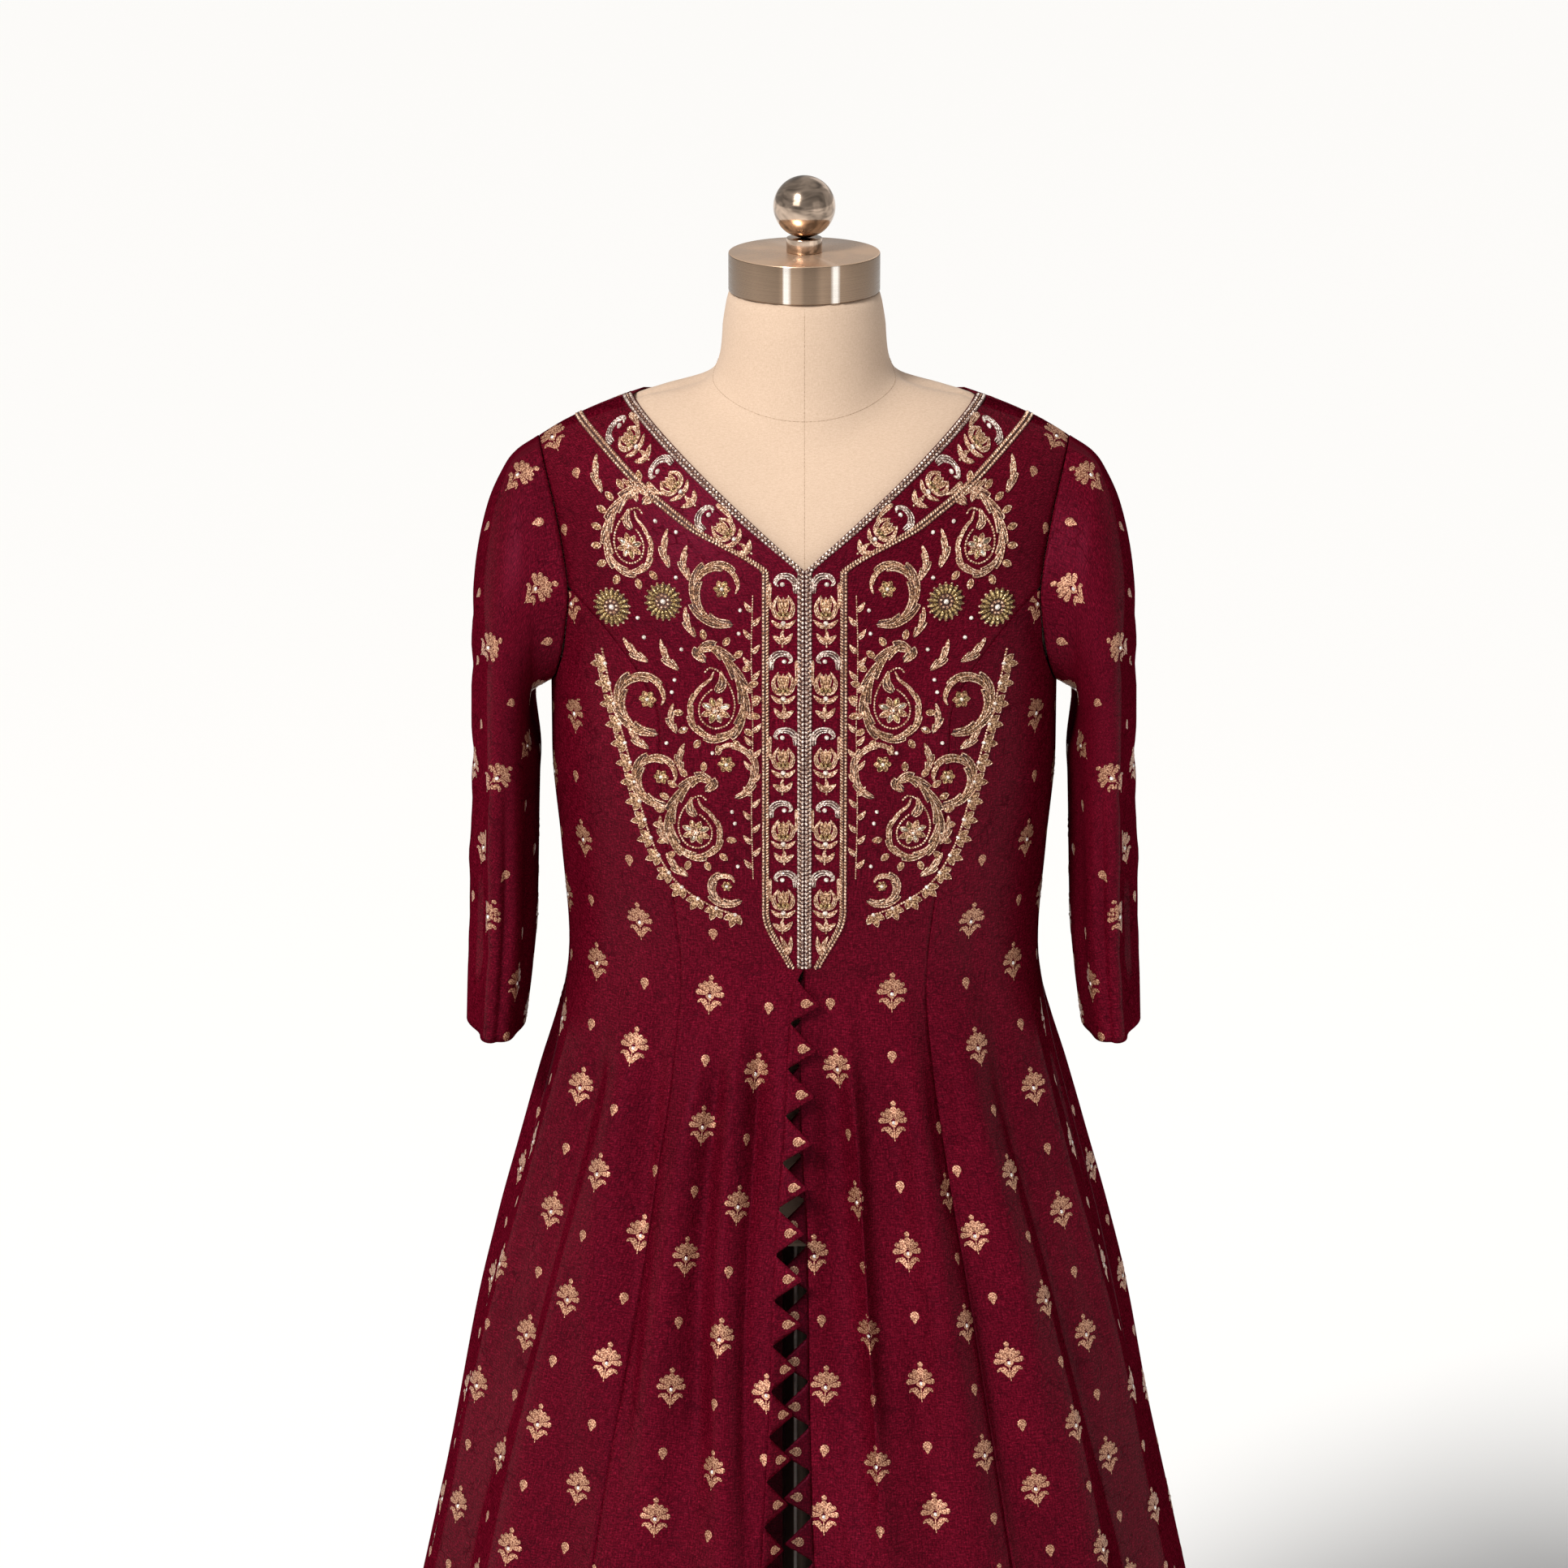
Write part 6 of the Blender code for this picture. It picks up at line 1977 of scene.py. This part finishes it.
def woven_petal(work, root, tip, width, bend=0.0, form=PETAL_FORM):
    """A flat petal of gold weft, slightly raised along its middle."""
    root, tip = np.array(root), np.array(tip)
    ahead = tip - root
    left = np.array((-ahead[1], ahead[0]))
    path = np.array([root + ahead * share + left * bend * math.sin(np.pi * share) for share in PETAL_SHARES])
    half = width / 2 * np.array(form)
    across = leftward(path)
    grid = np.stack([path - across * half[:, None], path, path + across * half[:, None]], axis=1)
    high = np.broadcast_to(WEFT_HEIGHTS, grid.shape[:2])
    points = np.concatenate([grid, high[..., None]], axis=2).reshape(-1, 3)
    heap(work, points, points[:, :2], strip_faces(len(path), 3), 0)


def woven_disc(work, place, size, look=0, height=WEFT_HEIGHTS[1]):
    dome(work, place, size, 0.0, height, look, form=DROP if look == 0 else BEAD)


LOTUS_FAN = table(
    "from_upright length width bend",
    (31, 0.0104, 0.0035, 0.08),
    (56, 0.0110, 0.0038, 0.05),
    (84, 0.0112, 0.0042, -0.04),
)


def lotus():
    """A lotus on a short stem with two curled leaves."""
    work = pile()
    woven_disc(work, (0.0, 0.0124), (0.0042, 0.0044))
    woven_disc(work, (0.0, 0.0062), (0.0056, 0.0084))
    for side in (-1, 1):
        for row in LOTUS_FAN:
            turn = math.radians(row["from_upright"])
            out = np.array((side * math.sin(turn), math.cos(turn)))
            root = np.array((0.0, -0.0004)) + out * 0.0016
            woven_petal(work, root, root + out * (row["length"] - 0.0016), row["width"], side * row["bend"])
        woven_petal(work, (side * 0.0014, -0.0128), (side * 0.0062, -0.0052), 0.0046, side * 0.12)
        woven_petal(work, (side * 0.0054, -0.0054), (side * 0.0092, -0.0078), 0.0022, side * 0.16, LEAF_FORM)
    woven_petal(work, (0.0, -0.0052), (0.0, -0.0008), 0.0070)
    woven_petal(work, (0.0, -0.0158), (0.0, -0.0044), 0.0013, 0.0, LEAF_FORM)
    woven_disc(work, (0.0, -0.0020), (0.0033, 0.0033), 1, 0.0010)
    return work


def small_bud():
    """A round drop with a small point below."""
    work = pile()
    woven_disc(work, (0.0, 0.0), (0.0070, 0.0072))
    woven_petal(work, (0.0, -0.0056), (0.0, -0.0020), 0.0034)
    return work


COLUMN_GAP, REPEAT, DROP_SHIFT = 0.0450, 0.0970, 0.0560
MOTIF_ROWS = table(
    "sheet first_across level",
    ("front_center", -0.0220, 0.9200),
    ("front_side", -0.0400, 0.9290),
    ("back_side", -0.0420, 0.9290),
    ("back_center", 0.0225, 0.9200),
    ("sleeve", 0.0200, 1.0700),
)
MOTIF_MARGIN, END_MARGIN, MOTIFS_APART, PROBE = 0.002, 0.004, 0.032, 0.004
MOTIF_COLUMNS, MOTIF_STEPS = range(-14, 15), range(-24, 16)
CUT_BESIDE, CUT_ENDS = 0.0006, 0.0005
YOKE_CLEARANCE = 0.010
STRETCH_LIMITS = (0.16, 3.0)
LEAST_FACES = 5


def edge_limits(sheet, up):
    """How far the sheet goes to each side at heights."""
    rows = sheet["up"][:, 0]
    last = sheet["across"][:, -1]
    if sheet["wrapped"]:
        last = last + closing_width(sheet)
    return np.interp(up, rows, sheet["across"][:, 0]), np.interp(up, rows, last)


def under_yoke(place):
    """True where the yoke covers the cloth."""
    x, y, z = place
    edge = np.interp(z, [row["z"] for row in YOKE_EDGE], [row["x"] for row in YOKE_EDGE])
    return y < MIDDLE_Y and YOKE_EDGE[0]["z"] < z and abs(x) < edge + YOKE_CLEARANCE


def laid_true(sheet, across, up, limits):
    """A motif's place on a shell, and what its own metres are times there to keep its shape."""
    low, high, top = limits
    beside = PROBE if across < (low + high) / 2 else -PROBE
    above = PROBE if up + PROBE < top else -PROBE
    flat = np.array([[across, up, 0.0], [across + beside, up, 0.0], [across, up + above, 0.0]])
    place, right, over = on_sheet(sheet, flat)
    ways = np.stack([(right - place) / beside, (over - place) / above], axis=1)
    sizes, axes = np.linalg.eigh(ways.T @ ways)
    return place, axes @ np.diag(np.clip(sizes, *STRETCH_LIMITS) ** -0.5) @ axes.T


def without_scraps(faces, left_over):
    """Of the faces left over from a cut at a seam, those in parts that are still large enough to show."""
    joined = {}

    def first_of(corner):
        while joined.get(corner, corner) != corner:
            corner = joined[corner]
        return corner

    for k in left_over:
        for corner in faces[k][1:]:
            joined[first_of(corner)] = first_of(faces[k][0])
    parts = [first_of(faces[k][0]) for k in left_over]
    sizes = Counter(parts)
    return [k for k, part in zip(left_over, parts) if sizes[part] >= LEAST_FACES]


def woven_motifs(sheet, name, flip):
    """The repeat of large and small motifs over one sheet."""
    row = next(row for row in MOTIF_ROWS if name.startswith(row["sheet"]))
    heights = sheet["points"][:, 0 if sheet["wrapped"] else sheet["points"].shape[1] // 2, 2]
    base = np.interp(row["level"], heights, sheet["up"][:, 0])
    top = sheet["up"][-1, 0]
    work = pile()
    motifs = (lotus(), small_bud())
    placed = []
    for column in MOTIF_COLUMNS:
        across = row["first_across"] + column * COLUMN_GAP
        across = -across if flip else across
        for step in MOTIF_STEPS:
            up = base + step * REPEAT / 2 + (DROP_SHIFT if column % 2 else 0.0)
            if not END_MARGIN < up < top - END_MARGIN:
                continue
            low, high = edge_limits(sheet, up)
            if not low + MOTIF_MARGIN < across < high - MOTIF_MARGIN:
                continue
            place, shape = laid_true(sheet, across, up, (low, high, top))
            if under_yoke(place) or any(np.linalg.norm(place - other) < MOTIFS_APART for other in placed):
                continue
            placed.append(place)
            merged(work, motifs[step % 2])
            work["points"][-1][:, :2] = work["points"][-1][:, :2] @ shape.T + (across, up)
    if not work["count"]:
        return work
    flat = np.concatenate(work["points"])
    low, high = edge_limits(sheet, flat[:, 1])
    gone = (flat[:, 0] < low) | (flat[:, 0] > high) | (flat[:, 1] < 0) | (flat[:, 1] > top)
    left_over = [k for k, face in enumerate(work["faces"]) if sum(gone[c] for c in face) * 2 < len(face)]
    kept = without_scraps(work["faces"], left_over)
    work["faces"], work["looks"] = ([work[part][k] for k in kept] for part in ("faces", "looks"))
    flat[:, 0] = np.clip(flat[:, 0], low + CUT_BESIDE, high - CUT_BESIDE)
    flat[:, 1] = np.clip(flat[:, 1], CUT_ENDS, top - CUT_ENDS)
    work["points"] = [on_sheet(sheet, flat)]
    return work


# Points along the slit

POINT_PITCH, POINT_DEPTH, POINT_TIP_SHARE = 0.032, 0.0175, 0.62
POINT_BAND, POINT_OVERLAP = 0.003, 0.0012
FIRST_POINT_Z, LAST_POINT_Z = 0.988, 0.104
POINT_CELLS = 8
POINT_LIFT, POINT_PILLOW = 0.0004, 0.0011
CURL_TOP, CURL_RUN, CURL_ANGLE = 0.790, 0.090, 0.85
POINT_LEAN = 0.10
BUD_DOWN, BUD_AWAY = 0.56, 0.0092
PILLOW_START, UNEVEN_MEAN, UNEVEN_SWING, UNEVEN_STEP, CLOTH_APART = 0.15, 0.75, 0.35, 2.3, 0.3


def slit_reader(sheet, side):
    """A function that reads the slit's edge at heights: points, outward directions and normals."""
    edge, inward = (0, 2) if side > 0 else (-1, -3)
    line, normals = sheet["points"][:, edge], sheet["normals"][:, edge]
    out = unit(line - sheet["points"][:, inward])
    keep = line[:, 2] <= TIP_Z + 0.001
    line, normals, out = line[keep], normals[keep], out[keep]
    out[:, 1] = np.maximum(out[:, 1], -POINT_LEAN)
    out = unit(out)

    def read(z, away, high):
        at, ahead, up = (read_along(columns, line[:, 2], z) for columns in (line, out, normals))
        share = np.clip((CURL_TOP - z) / CURL_RUN, 0, 1) if side < 0 else 0 * z
        curl = (CURL_ANGLE * share * share * (3 - 2 * share))[..., None]
        up = unit(up)
        outward = ahead * np.cos(curl) - up * np.sin(curl)
        return at + outward * away[..., None] + (up * np.cos(curl) + ahead * np.sin(curl)) * high[..., None]

    return read


def slit_points(sheet, side, word, silk, looks):
    """The folded points along one edge of the slit, each with a woven bud."""
    read = slit_reader(sheet, side)
    count = int((FIRST_POINT_Z - LAST_POINT_Z) / POINT_PITCH)
    pitch = (FIRST_POINT_Z - LAST_POINT_Z) / count
    u, v = np.meshgrid(np.linspace(0, 1, POINT_CELLS + 1), np.linspace(0, 1, POINT_CELLS + 1))
    pillow = (1 - np.abs(2 * u - 1) ** 3) * (1 - v**3) * np.clip(v / PILLOW_START, 0.0, 1.0)
    points, uv, faces = [], [], []
    buds, motif = pile(), small_bud()
    across, reach = POINT_CELLS + 1, POINT_OVERLAP + POINT_BAND + POINT_DEPTH
    for i in range(count):
        top = FIRST_POINT_Z - i * pitch
        z = top - pitch * (u * (1 - v) + POINT_TIP_SHARE * v)
        away = -POINT_OVERLAP + reach * v
        uneven = UNEVEN_MEAN + UNEVEN_SWING * math.sin(i * UNEVEN_STEP + side)
        high = POINT_LIFT + POINT_PILLOW * pillow * uneven
        start = i * across**2
        points.append(read(z, away, high).reshape(-1, 3))
        uv.append(np.stack([away.ravel() * side + CLOTH_APART, z.ravel()], axis=1))
        for row in range(POINT_CELLS):
            for k in range(POINT_CELLS):
                a = start + row * across + k
                face = (a, a + 1, a + across + 1, a + across)
                faces.append(face[::-1] if side > 0 else face)
        place = np.concatenate(motif["points"])
        bud_z = top - pitch * BUD_DOWN - side * place[:, 0]
        bud_away = BUD_AWAY - place[:, 1]
        made = read(bud_z, bud_away, POINT_LIFT + POINT_PILLOW * uneven + place[:, 2])
        heap(buds, made, place[:, :2], motif["faces"], motif["looks"])
    name = "slit_points_" + word
    piece = mesh_piece(name + "_silk", np.concatenate(points), faces, [silk], np.concatenate(uv))
    weld(piece)
    silk_skin(piece, name)
    made = ornament("slit_buds_" + word, buds, as_made, looks)


# The whole

def dress_cloth(silk):
    """Every shell of the dress; the sheets are kept by node for what is laid on them."""
    sheets = {}
    front_edges, back_edges, half_edges = side_front(), side_back(), half_back()
    for side, word in ((1, "left"), (-1, "right")):
        sheets["front_center_" + word] = [centre_front(side)]
        sheets["front_side_" + word] = [side_sheet(front_edges, side)]
        sheets["back_side_" + word] = [side_sheet(back_edges, side)]
    sheets["back_center"] = [half_back_sheet(half_edges, 1), half_back_sheet(half_edges, -1)]
    sleeve = sleeve_sheet()
    sheets["sleeve_left"] = [sleeve]
    sheets["sleeve_right"] = [mirrored(sleeve)]
    pieces = {}
    for name, parts in sheets.items():
        pieces[name] = cloth_piece(name + "_silk", parts, silk, name)
    return sheets, pieces


def woven_over(sheets, looks):
    """Lays the woven repeat on every shell."""
    for name, parts in sheets.items():
        work = pile()
        for sheet in parts:
            made = woven_motifs(sheet, name, name.endswith("right"))
            if made["count"]:
                heap(work, made["points"][0], np.concatenate(made["uv"]), made["faces"], made["looks"])
        motifs = ornament(name + "_motifs", work, as_made, looks)


def applied_work(looks):
    """Braids, rosettes, yoke and bands of each side."""
    flat_works = (("yoke_", yoke(), laid_on_front), ("placket_", placket(), laid_on_front),
                  ("neck_band_", neck_band(), laid_on_band))
    braids = (("edge_braid_", edge_braid()), ("border_braid_", border_braid()))
    for word, right in (("left", False), ("right", True)):
        for name, work, laid in flat_works:
            ornament(name + word, work, laid, looks, right=right)
        for name, work in braids:
            ornament(name + "beads_" + word, work, as_made, looks, (name + word,), right)
        for row in ROSETTES:
            work = bead_rosette(np.array((row["x"], row["z"])), row["radius"])
            name = row["name"] + "_" + word
            ornament(name + "_bugles", work, laid_on_front, looks, (name,), right)


SILK = silk_material()
# Darkened copies of the silk and the woven gold for the points under the lap: painted shade.
PAINTED_SHADE_SILK = silk_material("silk_painted_shade_under_lap", PAINTED_SHADE_UNDER_LAP)
WOVEN_GOLD = woven_gold_material()
PAINTED_SHADE_GOLD = woven_gold_material("woven_gold_painted_shade_under_lap", PAINTED_SHADE_UNDER_LAP)
LINEN = linen_material()
BRUSHED = steel_material("brushed_steel", (0.80, 0.550, 0.375), 0.28, True)
# The pole's steel is made dark all along; where it shows through the slit this is painted shade for the
# inside of the dress.
DARK_STEEL = steel_material("pole_steel", (0.26, 0.180, 0.135), 0.42, True)
POLISHED = steel_material("polished_steel", (0.53, 0.405, 0.315), 0.16, False)

# Each thread's dark, middle and light tones: the light ones stand partly for painted glints, the dark ones
# partly for painted shade.
THREADS = (
    ("gold_cord", (0.24, 0.105, 0.054), (0.57, 0.318, 0.198), (0.96, 0.73, 0.55), 0.38, 0.50),
    ("gold_strands", (0.105, 0.040, 0.017), (0.31, 0.150, 0.070), (0.71, 0.455, 0.262), 0.36, 0.55),
    # The bed under the embroidery, dark as partly painted shade.
    ("dark_bed_and_painted_shade", (0.026, 0.004, 0.004), (0.050, 0.009, 0.008), (0.11, 0.040, 0.022), 0.60, 0.20),
    ("silver_beads", (0.20, 0.120, 0.100), (0.58, 0.43, 0.365), (1.00, 0.89, 0.80), 0.30, 0.50),
    ("pearls", (0.50, 0.41, 0.34), (0.74, 0.66, 0.58), (0.95, 0.90, 0.84), 0.22, 0.10),
    ("bugle_beads", (0.090, 0.050, 0.016), (0.30, 0.190, 0.075), (0.66, 0.48, 0.23), 0.20, 0.55),
    ("mirror_petals", (0.24, 0.19, 0.13), (0.50, 0.43, 0.33), (0.88, 0.82, 0.70), 0.12, 0.90, 120.0),
    ("seam_thread", (0.30, 0.20, 0.13), (0.40, 0.28, 0.19), (0.50, 0.36, 0.25), 0.8, 0.0),
    ("sequins", (0.60, 0.54, 0.50), (0.82, 0.77, 0.73), (0.98, 0.95, 0.92), 0.25, 0.40),
)
*THREAD_LOOKS, SEAM_THREAD, SEQUIN = [thread_material(*row) for row in THREADS]

studio()
sheets, cloth = dress_cloth(SILK)
form_seams(form_skin(LINEN))
fittings(BRUSHED, POLISHED, DARK_STEEL)
woven_over(sheets, [WOVEN_GOLD, SEQUIN])
applied_work(THREAD_LOOKS)
# The left edge's points lie under the lap and take the darkened copies: painted shade.
slit_points(sheets["front_center_left"][0], 1, "left", PAINTED_SHADE_SILK, [PAINTED_SHADE_GOLD, SEQUIN])
slit_points(sheets["front_center_right"][0], -1, "right", SILK, [WOVEN_GOLD, SEQUIN])
